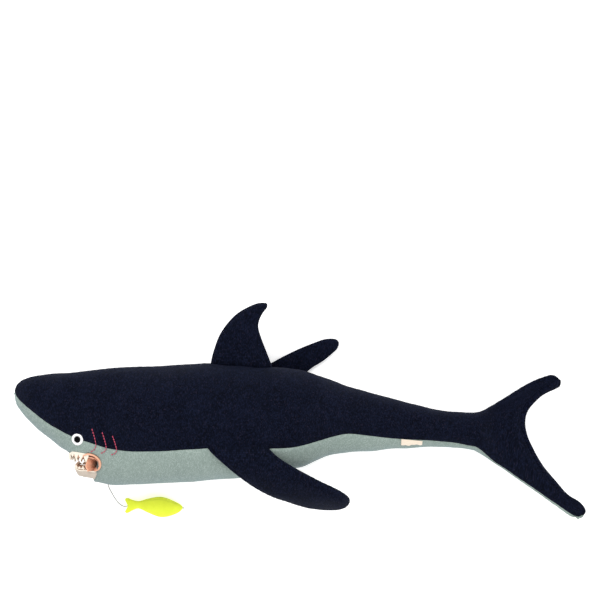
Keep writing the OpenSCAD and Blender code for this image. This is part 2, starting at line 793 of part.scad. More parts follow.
// The thread leaves a knot at the lower corner of the mouth, runs out over the surface and enters
// the notch of the fish's tail. Its points are distance from the nose, height on the page, and z.
CORD = [[106, -50, 22.5], [105.6, -52.4, 15], [104.8, -56.4, 6.5], [103.8, -62.4, 1.8], [103.2, -69, 0.8],
    [103.6, -75, 0.7], [105.5, -80, 0.7], [108, -84.5, 0.7], [110.6, -89, 0.7], [113.4, -93.2, 0.7],
    [116.6, -97, 0.7], [120, -99.6, 1.2], [123.6, -100.4, 3], [127, -99.8, 5.4], [128.6, -99.2, 6.6]];
cord_steps = 42;
function cord_point(t) =
    let (p = spline(CORD, t))
    [p[0], p[1], p[2] * lerp(kz, 1, smooth(4.6 * t))];

module fish_cord() {
    color("gainsboro")
        place_fish()
            thread([for (k = [0:cord_steps]) cord_point(k / cord_steps)], cord_d);
}

module cord_knot() {
    color("gainsboro")
        place_fish()
            translate(cord_point(0) + [0, 0, 1.7])
                sphere(d = 3.2, $fn = 24);
}

// ---------- one line for each node ----------
left_side_panel();
right_side_panel();
belly_panel();
head_stuffing();
torso_stuffing();
tail_left_panel();
tail_right_panel();
tail_belly_strip();
tail_stuffing();
sewn_label();
dorsal_left_panel();
dorsal_right_panel();
dorsal_stuffing();
left_pectoral_top();
left_pectoral_under();
left_pectoral_stuffing();
right_pectoral_top();
right_pectoral_under();
right_pectoral_stuffing();
left_eye_ring();
left_pupil();
right_eye_ring();
right_pupil();
left_gill_stitches();
right_gill_stitches();
palate_lining();
throat_lining();
upper_teeth();
jaw_cover();
jaw_lining();
jaw_stuffing();
lower_teeth();
fish_top_panel();
fish_back_panel();
fish_stuffing();
fish_nose_knot();
fish_cord();
cord_knot();
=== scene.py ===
# %% [markdown]
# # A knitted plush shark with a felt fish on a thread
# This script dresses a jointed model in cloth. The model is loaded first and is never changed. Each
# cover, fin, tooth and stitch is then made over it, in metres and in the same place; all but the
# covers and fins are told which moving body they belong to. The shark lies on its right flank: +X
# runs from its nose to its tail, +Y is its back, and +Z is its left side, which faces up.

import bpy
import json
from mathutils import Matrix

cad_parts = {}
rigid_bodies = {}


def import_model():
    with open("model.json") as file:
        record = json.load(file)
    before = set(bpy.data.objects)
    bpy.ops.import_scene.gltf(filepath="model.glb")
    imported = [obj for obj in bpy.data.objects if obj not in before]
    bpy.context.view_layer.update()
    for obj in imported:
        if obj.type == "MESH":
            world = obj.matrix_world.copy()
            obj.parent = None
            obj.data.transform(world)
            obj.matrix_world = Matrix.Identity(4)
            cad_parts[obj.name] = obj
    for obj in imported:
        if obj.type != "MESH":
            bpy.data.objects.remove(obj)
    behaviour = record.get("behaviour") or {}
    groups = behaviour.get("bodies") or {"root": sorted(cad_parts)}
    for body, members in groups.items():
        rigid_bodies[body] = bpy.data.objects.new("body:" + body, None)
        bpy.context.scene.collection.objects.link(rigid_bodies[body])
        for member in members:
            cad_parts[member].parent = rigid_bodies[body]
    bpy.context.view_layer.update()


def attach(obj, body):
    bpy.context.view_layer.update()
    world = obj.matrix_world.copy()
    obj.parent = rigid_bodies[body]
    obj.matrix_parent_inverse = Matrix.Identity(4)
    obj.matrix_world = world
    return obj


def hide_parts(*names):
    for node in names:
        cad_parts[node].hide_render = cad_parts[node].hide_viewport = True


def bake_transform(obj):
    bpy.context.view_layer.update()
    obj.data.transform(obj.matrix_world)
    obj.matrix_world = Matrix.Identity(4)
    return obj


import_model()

import json
import math

import bpy
import numpy as np

MM = 0.001

# %% [markdown]
# ## Camera, light and floor
# The shark is seen from straight above, as it lies on a pale table. A long lens far away keeps the
# shape flat and true. Light comes from one large soft panel and a bright sky, so the dark knit shows
# its grain without hard shadows.

# %% camera, light and floor
lens_mm = 80
camera_height = 1.66
view_middle = (0.162, 0.151)

camera_data = bpy.data.cameras.new("camera")
camera_data.lens = lens_mm
camera_data.sensor_width = 36
camera = bpy.data.objects.new("camera", camera_data)
camera.location = (view_middle[0], view_middle[1], camera_height)
bpy.context.scene.collection.objects.link(camera)
bpy.context.scene.camera = camera


def add_panel_light(name, place, aim, size, power):
    light = bpy.data.lights.new(name, "AREA")
    light.shape = "SQUARE"
    light.size = size
    light.energy = power
    lamp = bpy.data.objects.new(name, light)
    lamp.location = place
    direction = np.array(aim, float) - np.array(place, float)
    flat = math.hypot(direction[0], direction[1])
    tilt = math.atan2(flat, -direction[2])
    heading = math.atan2(direction[1], direction[0]) - math.pi / 2
    lamp.rotation_euler = (tilt, 0, heading)
    bpy.context.scene.collection.objects.link(lamp)


shark_middle = (0.15, 0.05, 0)
add_panel_light("main_panel", (-0.7, 1.3, 2.0), shark_middle, 1.6, 38)
add_panel_light("fill_panel", (1.4, -0.9, 1.7), shark_middle, 1.6, 16)
world = bpy.data.worlds.new("studio")
world.use_nodes = True
world.node_tree.nodes["Background"].inputs["Color"].default_value = (1, 1, 1, 1)
world.node_tree.nodes["Background"].inputs["Strength"].default_value = 0.85
bpy.context.scene.world = world
bpy.context.scene.view_settings.view_transform = "Standard"
print("camera", lens_mm, "mm at", tuple(camera.location))

# %% [markdown]
# ## Shader maths written as plain expressions
# A Blender finish is a graph of nodes. Wiring it by hand hides the maths, so a small class wraps a
# socket: `1 - mask` or `u * 3` then adds the Math node by itself. Every other node comes from one
# method, which sets the node's options first and then its sockets.

# %% a socket that can be used in sums
class Value:
    def __init__(self, finish, socket):
        self.finish = finish
        self.socket = socket

    def maths(self, operation, *others):
        return self.finish.node("ShaderNodeMath", {"operation": operation}, [self, *others])

    def __add__(self, other):
        return self.maths("ADD", other)

    def __mul__(self, other):
        return self.maths("MULTIPLY", other)

    def __sub__(self, other):
        return self.maths("SUBTRACT", other)

    def __truediv__(self, other):
        return self.maths("DIVIDE", other)

    def __pow__(self, other):
        return self.maths("POWER", other)

    def __rsub__(self, other):
        return self.finish.node("ShaderNodeMath", {"operation": "SUBTRACT"}, [other, self])

    def __rtruediv__(self, other):
        return self.finish.node("ShaderNodeMath", {"operation": "DIVIDE"}, [other, self])

    __radd__ = __add__
    __rmul__ = __mul__

    def __abs__(self):
        return self.maths("ABSOLUTE")

    def __gt__(self, other):
        return self.maths("GREATER_THAN", other)

    def whole(self):
        return self.maths("FLOOR")

    def part(self):
        return self.maths("FRACT")


class Finish:
    def __init__(self, name):
        self.material = bpy.data.materials.new(name)
        self.material.use_nodes = True
        self.tree = self.material.node_tree
        self.tree.nodes.clear()

    def node(self, kind, settings=None, sockets=None, out=0):
        made = self.tree.nodes.new(kind)
        for key, value in (settings or {}).items():
            if key == "stops":
                for stop, (place, colour) in zip(made.color_ramp.elements, value):
                    stop.position = place
                    stop.color = colour
            else:
                setattr(made, key, value)
        pairs = sockets.items() if isinstance(sockets, dict) else enumerate(sockets or [])
        for key, value in pairs:
            target = made.inputs[key] if isinstance(key, int) else self.find(made.inputs, key)
            if isinstance(value, Value):
                self.tree.links.new(value.socket, target)
            else:
                target.default_value = value
        if not made.outputs:
            return None
        return Value(self, made.outputs[out] if isinstance(out, int) else self.find(made.outputs, out))

    @staticmethod
    def find(sockets, key):
        return next((s for s in sockets if s.identifier == key), None) or sockets[key]

    def mix(self, share, low, high):
        return self.node("ShaderNodeMix", {"data_type": "RGBA"},
                         {"Factor_Float": share, "A_Color": low, "B_Color": high}, "Result_Color")

    def cloth_place(self):
        """Distance along and across the cloth in metres, kept on each piece as it is cut."""
        place = self.node("ShaderNodeAttribute", {"attribute_name": "cloth"}, {}, "Vector")
        along = self.node("ShaderNodeSeparateXYZ", {}, [place], "X")
        across = Value(self, along.socket.node.outputs["Y"])
        return place, along, across

    def noise(self, vector, scale, detail=2.0, roughness=0.5):
        return self.node("ShaderNodeTexNoise", {"noise_dimensions": "3D"},
                         {"Vector": vector, "Scale": scale, "Detail": detail, "Roughness": roughness}, 0)

    def surface(self, colour, roughness, height, depth, strength, **uniform):
        bump = self.node("ShaderNodeBump", {}, {"Height": height, "Distance": depth, "Strength": strength})
        cloth = self.node("ShaderNodeBsdfPrincipled", {},
                          {"Base Color": colour, "Roughness": roughness, "Normal": bump, **uniform})
        self.node("ShaderNodeOutputMaterial", {}, [cloth])
        return self.material


def rgb(red, green, blue):
    return (red, green, blue, 1.0)


print("shader helpers ready")

# %% [markdown]
# ## Knitted cloth
# The covers are a fine plain knit. Each stitch is a V of two slanted strands, and the columns of Vs
# run across the body. The pattern is worked out from the cloth's own distances, so its stitches keep
# their real size on every piece. Each stitch gets its own tone, which gives the heathered grain, and
# the gaps between the strands are darkened as painted shade.

# %% the knit, in navy, grey and lime
def knit(name, dark, light, fleck, stitch, fleck_share=0.93, sheen=0.3, relief=0.55):
    finish = Finish(name)
    place, along, across = finish.cloth_place()
    u = along / stitch
    v = across / (stitch * 0.78)
    side = abs(u.part() - 0.5)
    lean = v + side * 1.15
    strand = 1 - (lean.part() * 2 - 1) ** 2.0
    leg = 1 - (side * 4 - 1) ** 2.0
    height = strand * leg
    cell = finish.node("ShaderNodeCombineXYZ", {}, [(u * 2).whole(), lean.whole(), 0.0])
    chance = finish.node("ShaderNodeTexWhiteNoise", {"noise_dimensions": "2D"}, {"Vector": cell}, "Value")
    shifted = finish.node("ShaderNodeVectorMath", {"operation": "ADD"}, [cell, (91.7, 13.3, 0.0)])
    second = finish.node("ShaderNodeTexWhiteNoise", {"noise_dimensions": "2D"}, {"Vector": shifted}, "Value")
    broad = finish.noise(place, 38.0, 3.0)
    fuzz = finish.noise(place, 2600.0, 2.0)
    tone = chance ** 1.6 * 0.9 + (broad - 0.35) * 0.5
    yarn = finish.mix(tone, dark, light)
    flecked = finish.mix((second > fleck_share) * 0.6, yarn, fleck)
    # Painted shade: the colour falls to 45% of the dark yarn in the gaps between the strands, where the
    # stitches shade each other.
    shade = finish.mix(height * 0.75 + 0.25, tuple(c * 0.45 for c in dark[:3]) + (1,), flecked)
    relief_map = height * 0.8 + fuzz * 0.35
    return finish.surface(shade, 0.92, relief_map, stitch * 0.3, relief,
                          **{"Sheen Weight": sheen, "Sheen Roughness": 0.5,
                             "Sheen Tint": rgb(0.35, 0.5, 1.0), "Specular IOR Level": 0.06})


navy_knit = knit("navy_knit", rgb(0.0006, 0.0012, 0.0048), rgb(0.0090, 0.0130, 0.0350),
                 rgb(0.024, 0.020, 0.040), 1.9 * MM, 0.955, 0.02)
grey_knit = knit("grey_knit", rgb(0.265, 0.335, 0.300), rgb(0.40, 0.485, 0.445),
                 rgb(0.46, 0.53, 0.50), 1.9 * MM, 0.95, 0.10, 0.3)
print("knits:", navy_knit.name, grey_knit.name)

# %% [markdown]
# ## Felt, thread and ribbon
# Felt is matted wool: no weave, only short fibres in every direction, so its relief is noise at two
# sizes. Embroidery thread is shiny and ribbed along each stitch. The ribbon is a tight plain weave.

# %% felt, threads and ribbon
def felt(name, dark, light, fibre=0.9 * MM, sheen=0.35):
    finish = Finish(name)
    place = finish.cloth_place()[0]
    long_way = finish.node("ShaderNodeVectorMath", {"operation": "MULTIPLY"}, [place, (1.0, 0.35, 1.0)])
    cross_way = finish.node("ShaderNodeVectorMath", {"operation": "MULTIPLY"}, [place, (0.35, 1.0, 1.0)])
    hairs = (finish.noise(long_way, 1 / fibre, 4.0, 0.7) * 0.5
             + finish.noise(cross_way, 1 / fibre, 4.0, 0.7) * 0.5)
    clouds = finish.noise(place, 90.0, 2.0)
    colour = finish.mix(hairs * 0.6 + clouds * 0.5, dark, light)
    return finish.surface(colour, 0.95, hairs, 0.5 * MM, 0.45,
                          **{"Sheen Weight": sheen, "Sheen Roughness": 0.6, "Specular IOR Level": 0.15})


def thread_finish(name, dark, light, pitch, gloss=0.45, sheen=0.2):
    finish = Finish(name)
    place, along, across = finish.cloth_place()
    twist = (along / pitch + across / pitch).part()
    ply = 1 - (twist * 2 - 1) ** 2.0
    # Painted shade: the colour is lightest on each ply's crest and darkest in the grooves between the plies;
    # the noise adds random tone.
    colour = finish.mix(ply * 0.8 + finish.noise(place, 900.0) * 0.3, dark, light)
    return finish.surface(colour, gloss, ply, pitch * 0.3, 0.5,
                          **{"Sheen Weight": sheen, "Specular IOR Level": 0.1 + sheen})


def ribbon_finish(name, dark, light, pitch):
    finish = Finish(name)
    place, along, across = finish.cloth_place()
    warp = 1 - ((along / pitch).part() * 2 - 1) ** 2.0
    weft = 1 - ((across / pitch).part() * 2 - 1) ** 2.0
    weave = warp * 0.5 + weft * 0.5
    # Painted shade: the colour is lightest on the crests of warp and weft and darker between them; the noise
    # adds random tone.
    colour = finish.mix(weave * 0.7 + finish.noise(place, 120.0) * 0.4, dark, light)
    return finish.surface(colour, 0.7, weave, pitch * 0.3, 0.4, **{"Sheen Weight": 0.2})


lime_felt = felt("lime_felt", rgb(0.66, 0.76, 0.02), rgb(0.88, 0.97, 0.075), 1.1 * MM, 0.15)
cream_felt = felt("cream_felt", rgb(0.58, 0.52, 0.42), rgb(0.93, 0.88, 0.77), 0.9 * MM, 0.1)
beige_felt = felt("beige_felt", rgb(0.34, 0.29, 0.245), rgb(0.60, 0.52, 0.44), 0.9 * MM, 0.1)
pink_felt = felt("pink_felt", rgb(0.58, 0.23, 0.13), rgb(0.88, 0.52, 0.35), 0.9 * MM, 0.15)
white_thread = thread_finish("white_thread", rgb(0.72, 0.72, 0.74), rgb(0.95, 0.95, 0.95), 0.5 * MM)
black_thread = thread_finish("black_thread", rgb(0.001, 0.001, 0.001), rgb(0.005, 0.005, 0.006),
                             0.5 * MM, 0.6, 0.0)
red_thread = thread_finish("red_thread", rgb(0.20, 0.008, 0.035), rgb(0.60, 0.06, 0.13), 0.7 * MM)
cord_thread = thread_finish("cord_thread", rgb(0.36, 0.36, 0.35), rgb(0.66, 0.66, 0.64), 0.9 * MM, 0.7)
ribbon = ribbon_finish("cotton_ribbon", rgb(0.60, 0.49, 0.38), rgb(0.84, 0.73, 0.60), 0.55 * MM)
print("finishes:", len(bpy.data.materials))

# %% [markdown]
# ## Floor
# A plain pale table under the shark. It isn't part of the shark.

# %% floor
def plain_floor(half, below):
    """A square table top; below is how far under the shark it lies, so that the two don't flicker."""
    finish = Finish("pale_table")
    paint = finish.node("ShaderNodeBsdfPrincipled", {}, {
        "Base Color": rgb(0.94, 0.94, 0.94), "Roughness": 0.9,
        "Emission Color": rgb(1, 1, 1), "Emission Strength": 0.42})
    finish.node("ShaderNodeOutputMaterial", {}, [paint])
    mesh = bpy.data.meshes.new("table")
    corners = [(-half, -half, 0), (half, -half, 0), (half, half, 0), (-half, half, 0)]
    mesh.from_pydata(corners, [], [(0, 1, 2, 3)])
    mesh.materials.append(finish.material)
    table = bpy.data.objects.new("table", mesh)
    table.location = (0, 0, -below)
    bpy.context.scene.collection.objects.link(table)


plain_floor(3.0, 0.0004)
print("table placed")

# %% [markdown]
# ## Sheets of points
# Every cloth piece starts as a grid of points: rows run along the piece and columns across it. The
# grid also measures itself, and keeps the distance along and across the cloth with each point, for
# the knit and felt patterns to follow.

# %% grids, curves and small displacements
REST = np.array([180.0, 5.0, 0.0])
CORE = 59


def put(points):
    """From distances behind the nose, in millimetres, to the model's own frame in metres.

    The middle of the head and the body lies CORE above the table."""
    return (np.asarray(points, float) - REST) * MM


def link_piece(name, points, faces, cloth, finish):
    mesh = bpy.data.meshes.new(name)
    mesh.from_pydata([tuple(p) for p in points], [], faces)
    mesh.attributes.new("cloth", "FLOAT_VECTOR", "POINT").data.foreach_set(
        "vector", np.asarray(cloth, np.float32).ravel())
    mesh.polygons.foreach_set("use_smooth", [True] * len(mesh.polygons))
    mesh.materials.append(finish)
    mesh.update()
    piece = bpy.data.objects.new(name, mesh)
    bpy.context.scene.collection.objects.link(piece)
    return piece


def faces_outward(points, faces):
    """The same faces, turned so that they face away from the middle of the piece."""
    points = np.asarray(points).reshape(-1, 3)
    corners = points[np.array(faces)]
    across = np.cross(corners[:, 2] - corners[:, 0], corners[:, 3] - corners[:, 1])
    away = corners.mean(axis=1) - points.mean(axis=0)
    return faces if (across * away).sum() > 0 else [f[::-1] for f in faces]


def grid_piece(name, grid, finish, cloth, wrap=False):
    """A sheet from a grid of points; with wrap, its last column is joined to its first."""
    lines, columns = grid.shape[:2]
    along, across = cloth
    faces = []
    for i in range(lines - 1):
        for j in range(columns if wrap else columns - 1):
            k = (j + 1) % columns
            faces.append((i * columns + j, i * columns + k, (i + 1) * columns + k, (i + 1) * columns + j))
    marks = np.stack([along, across, np.zeros_like(along)], axis=2).reshape(-1, 3)
    return link_piece(name, grid.reshape(-1, 3), faces_outward(grid, faces), marks, finish)


def normals(grid):
    n = np.cross(np.gradient(grid, axis=1), np.gradient(grid, axis=0))
    return n / np.maximum(np.linalg.norm(n, axis=2, keepdims=True), 1e-12)


def smooth(t):
    t = np.clip(t, 0, 1)
    return t * t * (3 - 2 * t)


def power(x, p):
    """A power that keeps the sign of x."""
    return np.sign(x) * np.abs(x) ** p


def soft_max(a, b, radius):
    """The larger of a and b, with a rounded corner where they cross."""
    blend = np.maximum(radius - np.abs(a - b), 0) / radius
    return np.maximum(a, b) + blend * blend * radius / 4


def curve(points, count):
    """A smooth curve through a few points, sampled evenly along its own length."""
    p = np.asarray(points, float)
    ends = np.vstack([2 * p[0] - p[1], p, 2 * p[-1] - p[-2]])
    out = []
    for a, b, c, d in zip(ends[:-3], ends[1:-2], ends[2:-1], ends[3:]):
        for f in np.linspace(0, 1, 24, endpoint=False):
            out.append(b + 0.5 * f * (c - a + f * (2 * a - 5 * b + 4 * c - d + f * (3 * (b - c) + d - a))))
    out = np.array(out + [p[-1]])
    reach = np.concatenate([[0], np.cumsum(np.linalg.norm(np.diff(out, axis=0), axis=1))])
    even = np.linspace(0, reach[-1], count)
    return np.stack([np.interp(even, reach, out[:, k]) for k in range(p.shape[1])], axis=1)


def lumps(points, size, seed, waves=14):
    """A gentle unevenness, between about -1 and 1, from a fixed set of crossing waves."""
    dice = np.random.default_rng(seed)
    total = np.zeros(points.shape[:-1])
    for _ in range(waves):
        way = dice.normal(size=3)
        way *= 2 * math.pi / (size * dice.uniform(0.7, 1.6)) / np.linalg.norm(way)
        total += np.sin(points @ way + dice.uniform(0, 6.28))
    return total / math.sqrt(waves)


def run_of(grid):
    """How far each point is along its own column, and across its own row."""
    along = np.zeros(grid.shape[:2])
    along[1:] = np.cumsum(np.linalg.norm(np.diff(grid, axis=0), axis=2), axis=0)
    across = np.zeros(grid.shape[:2])
    across[:, 1:] = np.cumsum(np.linalg.norm(np.diff(grid, axis=1), axis=2), axis=1)
    return along, across


def belongs(piece, body, slot, *nodes):
    """The piece rides on one moving body and stands for these nodes of the model, which are hidden; slot is
    not used.
    """
    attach(piece, body)
    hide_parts(*nodes)
    return piece


print("grid helpers ready")

# %% [markdown]
# ## The fish's thread
# A free thread comes first, because it has a fixed real length. It leaves a knot at the lower corner
# of the mouth, drops to the table, curves round without any pull, and enters the notch of the fish's
# tail. It is a round curve with the thickness of the real thread.

# %% the thread and its knot
CORD = [[106, -50, 22.5], [105.6, -52.4, 15], [104.8, -56.4, 6.5], [103.8, -62.4, 1.8], [103.2, -69, 0.8],
        [103.6, -75, 0.7], [105.5, -80, 0.7], [108, -84.5, 0.7], [110.6, -89, 0.7], [113.4, -93.2, 0.7],
        [116.6, -97, 0.7], [120, -99.6, 1.2], [123.6, -100.4, 3], [127, -99.8, 5.4], [128.6, -99.2, 6.6]]
cord_width = 1.2 * MM


def tube_curve(name, points, width, finish):
    data = bpy.data.curves.new(name, "CURVE")
    data.dimensions = "3D"
    data.bevel_depth = width / 2
    data.bevel_resolution = 3
    line = data.splines.new("POLY")
    line.points.add(len(points) - 1)
    for spot, p in zip(line.points, points):
        spot.co = (*p, 1)
    data.materials.append(finish)
    piece = bpy.data.objects.new(name, data)
    bpy.context.scene.collection.objects.link(piece)
    return piece


cord_route = put(curve(CORD, 90))
fish_cord = tube_curve("fish_cord_thread", cord_route, cord_width, cord_thread)


def knot_piece(name, middle, size, finish):
    turns = np.linspace(0, 2 * math.pi, 60)
    knot = np.stack([np.sin(turns) + 2 * np.sin(2 * turns), np.cos(turns) - 2 * np.cos(2 * turns),
                     -np.sin(3 * turns)], axis=1)
    return tube_curve(name, np.asarray(middle) + knot * size / 6, size * 0.3, finish)


cord_knot = knot_piece("mouth_corner_knot", put([106, -50, 24.2]), 3.0 * MM, cord_thread)
belongs(fish_cord, "fish", "cotton_cord", "fish_cord")
belongs(cord_knot, "fish", "cotton_cord", "cord_knot")

# %% [markdown]
# ## The body cover
# A stuffed body is round, but never smooth: its cloth is pulled in at each seam and swells between
# them. The covers follow measured cross-sections from nose to tail, each an oval with a little extra
# squareness. Two dark side panels meet on the back, and a pale belly panel closes them below.
# A cross-section gives the distance from the nose, the heights of the back, the belly and the side
# seam, half the width, and how high the middle is above the table.

# %% the body's cross-sections
SECTIONS = np.array([
    [0, 47.5, 42, 45, 3, 59], [3, 55, 30, 41, 11, 59], [8, 59.5, 23, 37, 17, 59],
    [14, 62, 16, 32.5, 22.5, 59], [22, 64, 8, 26.5, 28, 59], [33, 65.5, -2, 18.5, 33, 59],
    [46, 67.3, -12, 10.5, 37, 59], [57, 68.5, -21, 5, 40, 59], [66, 69.3, -27, 0, 42, 59],
    [72, 69.8, -36, -2.5, 43, 59], [80, 70.7, -48, -5.5, 45, 59], [90, 71.8, -56, -8.5, 47, 59],
    [103.8, 73.3, -61.5, -12.5, 50, 59], [104.2, 73.3, -61.6, -12.6, 50, 59],
    [120, 74.3, -65, -17, 53.5, 59], [145, 75.8, -64.5, -20, 58, 59], [175, 77.2, -63, -19.6, 62, 59],
    [205, 78.8, -61.5, -17.5, 63, 59], [228, 79.2, -60, -16.2, 63, 59],
    [245, 78.5, -58.8, -15.6, 62.4, 59], [280, 76.6, -55.8, -17, 60.2, 59],
    [310, 75, -50.8, -17.4, 56.5, 55.2], [330, 73, -47.2, -17.2, 53.6, 52.4],
    [345, 71, -44.6, -15.2, 51, 49.5], [361, 66.2, -38.6, -11.4, 48, 46.4],
    [380, 58.9, -32, -6.6, 44, 42.4], [401, 50.6, -28.9, -3.4, 39.5, 38],
    [429, 42.1, -28, -7.5, 34.4, 33], [457, 34.9, -25.4, -11, 30.3, 29],
    [489, 26.2, -24.3, -14, 26.5, 25.3], [519, 19.6, -24.4, -17.3, 23.5, 22.4],
    [546, 17.9, -26.8, -22, 21.4, 20.5]])
roundness = 2.3
mouth_wall = 12  # the last section before the back wall of the mouth


def fill_rows(table, step):
    """More rows between the measured ones, on a smooth curve through them."""
    return curve(table, max(2, int((table[-1][0] - table[0][0]) / step) + 1))


nose_cap = SECTIONS[:1] * [1, 1, 1, 1, 0.35, 1] + [-1.2, -1.6, 1.6, 0, 0, 0]
head_rows = fill_rows(np.vstack([nose_cap, SECTIONS[:mouth_wall + 1]]), 2.4)
rear_rows = fill_rows(SECTIONS[mouth_wall + 1:], 2.6)
rows = np.vstack([head_rows, rear_rows])
head_count = len(head_rows)


def floor_height(s):
    """The flank rises off the table where the far side fin is tucked under it."""
    return 9.5 * smooth((s - 212) / 16) * (1 - smooth((s - 376) / 22))


def palate_height(s, z):
    """Height of the roof of the mouth, which slopes back and across."""
    return -32 - 0.2 * (s - 80) + 0.2 * (z - 60)


def middle_at(s):
    return np.interp(s, SECTIONS[:, 0], SECTIONS[:, 5])


def half_at(s, y):
    """The body's half width at a distance from the nose and a height towards the back."""
    s, y = np.broadcast_arrays(np.asarray(s, float), np.asarray(y, float))
    top, bottom, half = (np.interp(s, SECTIONS[:, 0], SECTIONS[:, k]) for k in (1, 2, 4))
    t = np.clip(np.abs((2 * y - top - bottom) / (top - bottom)), 0, 1)
    return half * (1 - t ** roundness) ** (1 / roundness)


def body_surface(row_list, angle, in_head):
    """Points of the cover: angle 0 is the back, 90 the flank that faces up, 180 the belly."""
    s, top, bottom, half, middle = (row_list[:, [k]] for k in (0, 1, 2, 4, 5))
    y = (top + bottom) / 2 + (top - bottom) / 2 * power(np.cos(angle), 2 / roundness)
    z = middle + half * power(np.sin(angle), 2 / roundness)
    if in_head:
        near_mouth = (s > 60) & (s < 104)
        y = np.where(near_mouth, soft_max(y, palate_height(s, z), 2.0), y)
    z = soft_max(z, floor_height(s), 3.0)
    z = np.maximum(z, 0.3)
    chin = 7 * smooth((-43 - y) / 14) * np.exp(-np.abs(s - 104) / 9) * (s > 103)
    return np.stack([s - chin, y, z], axis=2)


def seam_angle(row_list):
    middle = (row_list[:, 1] + row_list[:, 2]) / 2
    half = (row_list[:, 1] - row_list[:, 2]) / 2
    t = np.clip((row_list[:, 3] - middle) / half, -1, 1)
    return np.arccos(power(t, roundness / 2))[:, None]


print("rows along the body:", len(rows))

# %% [markdown]
# ## The tail fin
# The tail is the end of the same tube, pressed flat. Its upper and lower edges spread into two lobes
# and its trailing edge is a deep fork. The rows that ran round the body go on into the fin, so the
# cloth runs through without a join, as it does on the sewn shark.

# %% the tail fin's outline and thickness
TAIL_UPPER = [[556, 17.6], [566, 19.4], [578, 25.5], [595, 36], [626, 54.5], [642, 61], [655, 63.5],
              [664.5, 57]]
TAIL_LOWER = [[556, -28.2], [565, -33.5], [588, -49.5], [622, -73], [656, -97], [681, -113], [692, -112]]
TAIL_TRAIL = [[692, -112], [695, -104], [688, -94], [670, -81], [647, -54], [628, -23], [620, 3], [624, 21],
              [640, 36], [657, 45.5], [663, 49.5], [664.5, 57]]
upper_line, lower_line, trail_line = (curve(line, 400) for line in (TAIL_UPPER, TAIL_LOWER, TAIL_TRAIL))


def on_line(line, t):
    place = np.linspace(0, 1, len(line))
    return np.stack([np.interp(t, place, line[:, k]) for k in (0, 1)], axis=-1)


def tail_plan(t, v):
    """A patch between four edges: t runs from the body to the fork, v from the lower lobe to the upper."""
    low, up, trail = on_line(lower_line, t), on_line(upper_line, t), on_line(trail_line, v)
    l0, u0, l1, u1 = lower_line[0], upper_line[0], trail_line[0], upper_line[-1]
    t, v = t[..., None], v[..., None]
    start = l0 * (1 - v) + u0 * v
    corners = (l0 * (1 - v) + u0 * v) * (1 - t) + (l1 * (1 - v) + u1 * v) * t
    return low * (1 - v) + up * v + start * (1 - t) + trail * t - corners


def tail_surface(t, angle):
    t = np.broadcast_to(t, angle.shape)
    squash = 2 / roundness + (1 - 2 / roundness) * t
    v = 0.5 + 0.5 * power(np.cos(angle), squash)
    plan = tail_plan(t, v)
    rounding = np.sqrt(np.maximum(1 - np.clip((t - 0.5) / 0.5, 0, 1) ** 2.5, 0))
    half = np.maximum((20.6 - 9.1 * smooth(t / 0.4)) * rounding, 0.5)
    middle = 19.9 - 8.2 * smooth(t / 0.5)
    z = middle + half * power(np.sin(angle), 2 / roundness + (0.8 - 2 / roundness) * t)
    return np.concatenate([plan, np.maximum(z, 0.3)[..., None]], axis=2)


tail_steps = np.linspace(0, 1, 46)[:, None] ** 0.9
print("tail fin rows:", len(tail_steps))

# %% [markdown]
# ## Seams, puckers and lumps
# A seam draws the cloth down into a narrow groove, and its stitches gather the cloth into short
# puckers beside it. The filling shows as wide, gentle lumps. All of it is real relief, pushed in
# along the surface, and none of it is deeper than the groove.

# %% grooves, puckers and creases
def groove(distance, width, depth):
    return -depth * np.exp(-(distance / width) ** 2)


def pucker(distance, run, wave, depth, fade, seed):
    dice = np.random.default_rng(seed)
    phase = dice.uniform(0, 6.28)
    wander = 0.8 * np.sin(run / 31 + phase) + 0.6 * np.sin(run / 17 + 2 * phase)
    return depth * np.sin(2 * math.pi * run / wave + 3 * wander) * np.exp(-distance / fade)


def tail_crease(grid, count):
    """The turned edge of the fork leaves a soft crease beside it, deepest in the upper lobe."""
    along = run_of(grid)[0]
    across = np.linspace(0, 1, count)[None, :]
    from_end = along[-1:] - along - 1.5 * np.sin(across * 13)
    depth = 0.6 + 2.2 * (1 - smooth((across - 0.5) / 0.3))
    depth = depth * smooth(across / 0.08) * smooth((1 - across) / 0.1)
    crease = 0.5 * np.exp(-((from_end - 5) / 2.4) ** 2) - np.exp(-((from_end - 10) / 2.0) ** 2)
    return depth * crease * (grid[..., 0] > 560)


def settle(grid, out, seams):
    """Lumps are shared by all the panels, so that they meet at the seams; each seam has its own puckers."""
    across = run_of(grid)[1]
    push = 0.55 * lumps(grid, 46, 11) + 0.12 * lumps(grid, 17, 12) + tail_crease(grid, grid.shape[1])
    for side, seam in enumerate(seams):
        distance = across if side == 0 else across[:, -1:] - across
        push = push + groove(distance, 1.6, 1.1) + pucker(distance, grid[..., 0], 8.0, 0.16, 8, seam)
    return grid + out * push[..., None]


def mouth_dent(grid):
    """The cloth is drawn in at both corners of the mouth, where the felt collar covers it."""
    s, y, z = grid[..., 0], grid[..., 1], grid[..., 2]
    inside = 1 - ((s - 98) / 11.5) ** 2 - ((y + 34) / 11.5) ** 2
    depth = 9 * smooth(inside / 0.45) * (np.abs(z - CORE) > 22)
    return np.stack([s, y, z - depth * np.sign(z - CORE)], axis=2)


def outward(grid, middle_z):
    """Directions that point away from a line through the middle of the body."""
    n = normals(grid)
    inside = np.stack([grid[..., 0], 0 * grid[..., 1] + grid[..., 1].mean(axis=1, keepdims=True),
                       0 * grid[..., 2] + middle_z], axis=2)
    return n * np.sign((n * (grid - inside)).sum(axis=2).mean())


print("seam relief ready")

# %% [markdown]
# ## Panels from seam to seam
# Each panel is laid out between two seams, row by row from the nose to the fork. Its edges are turned
# in as a seam allowance, so no raw edge shows where two panels meet.

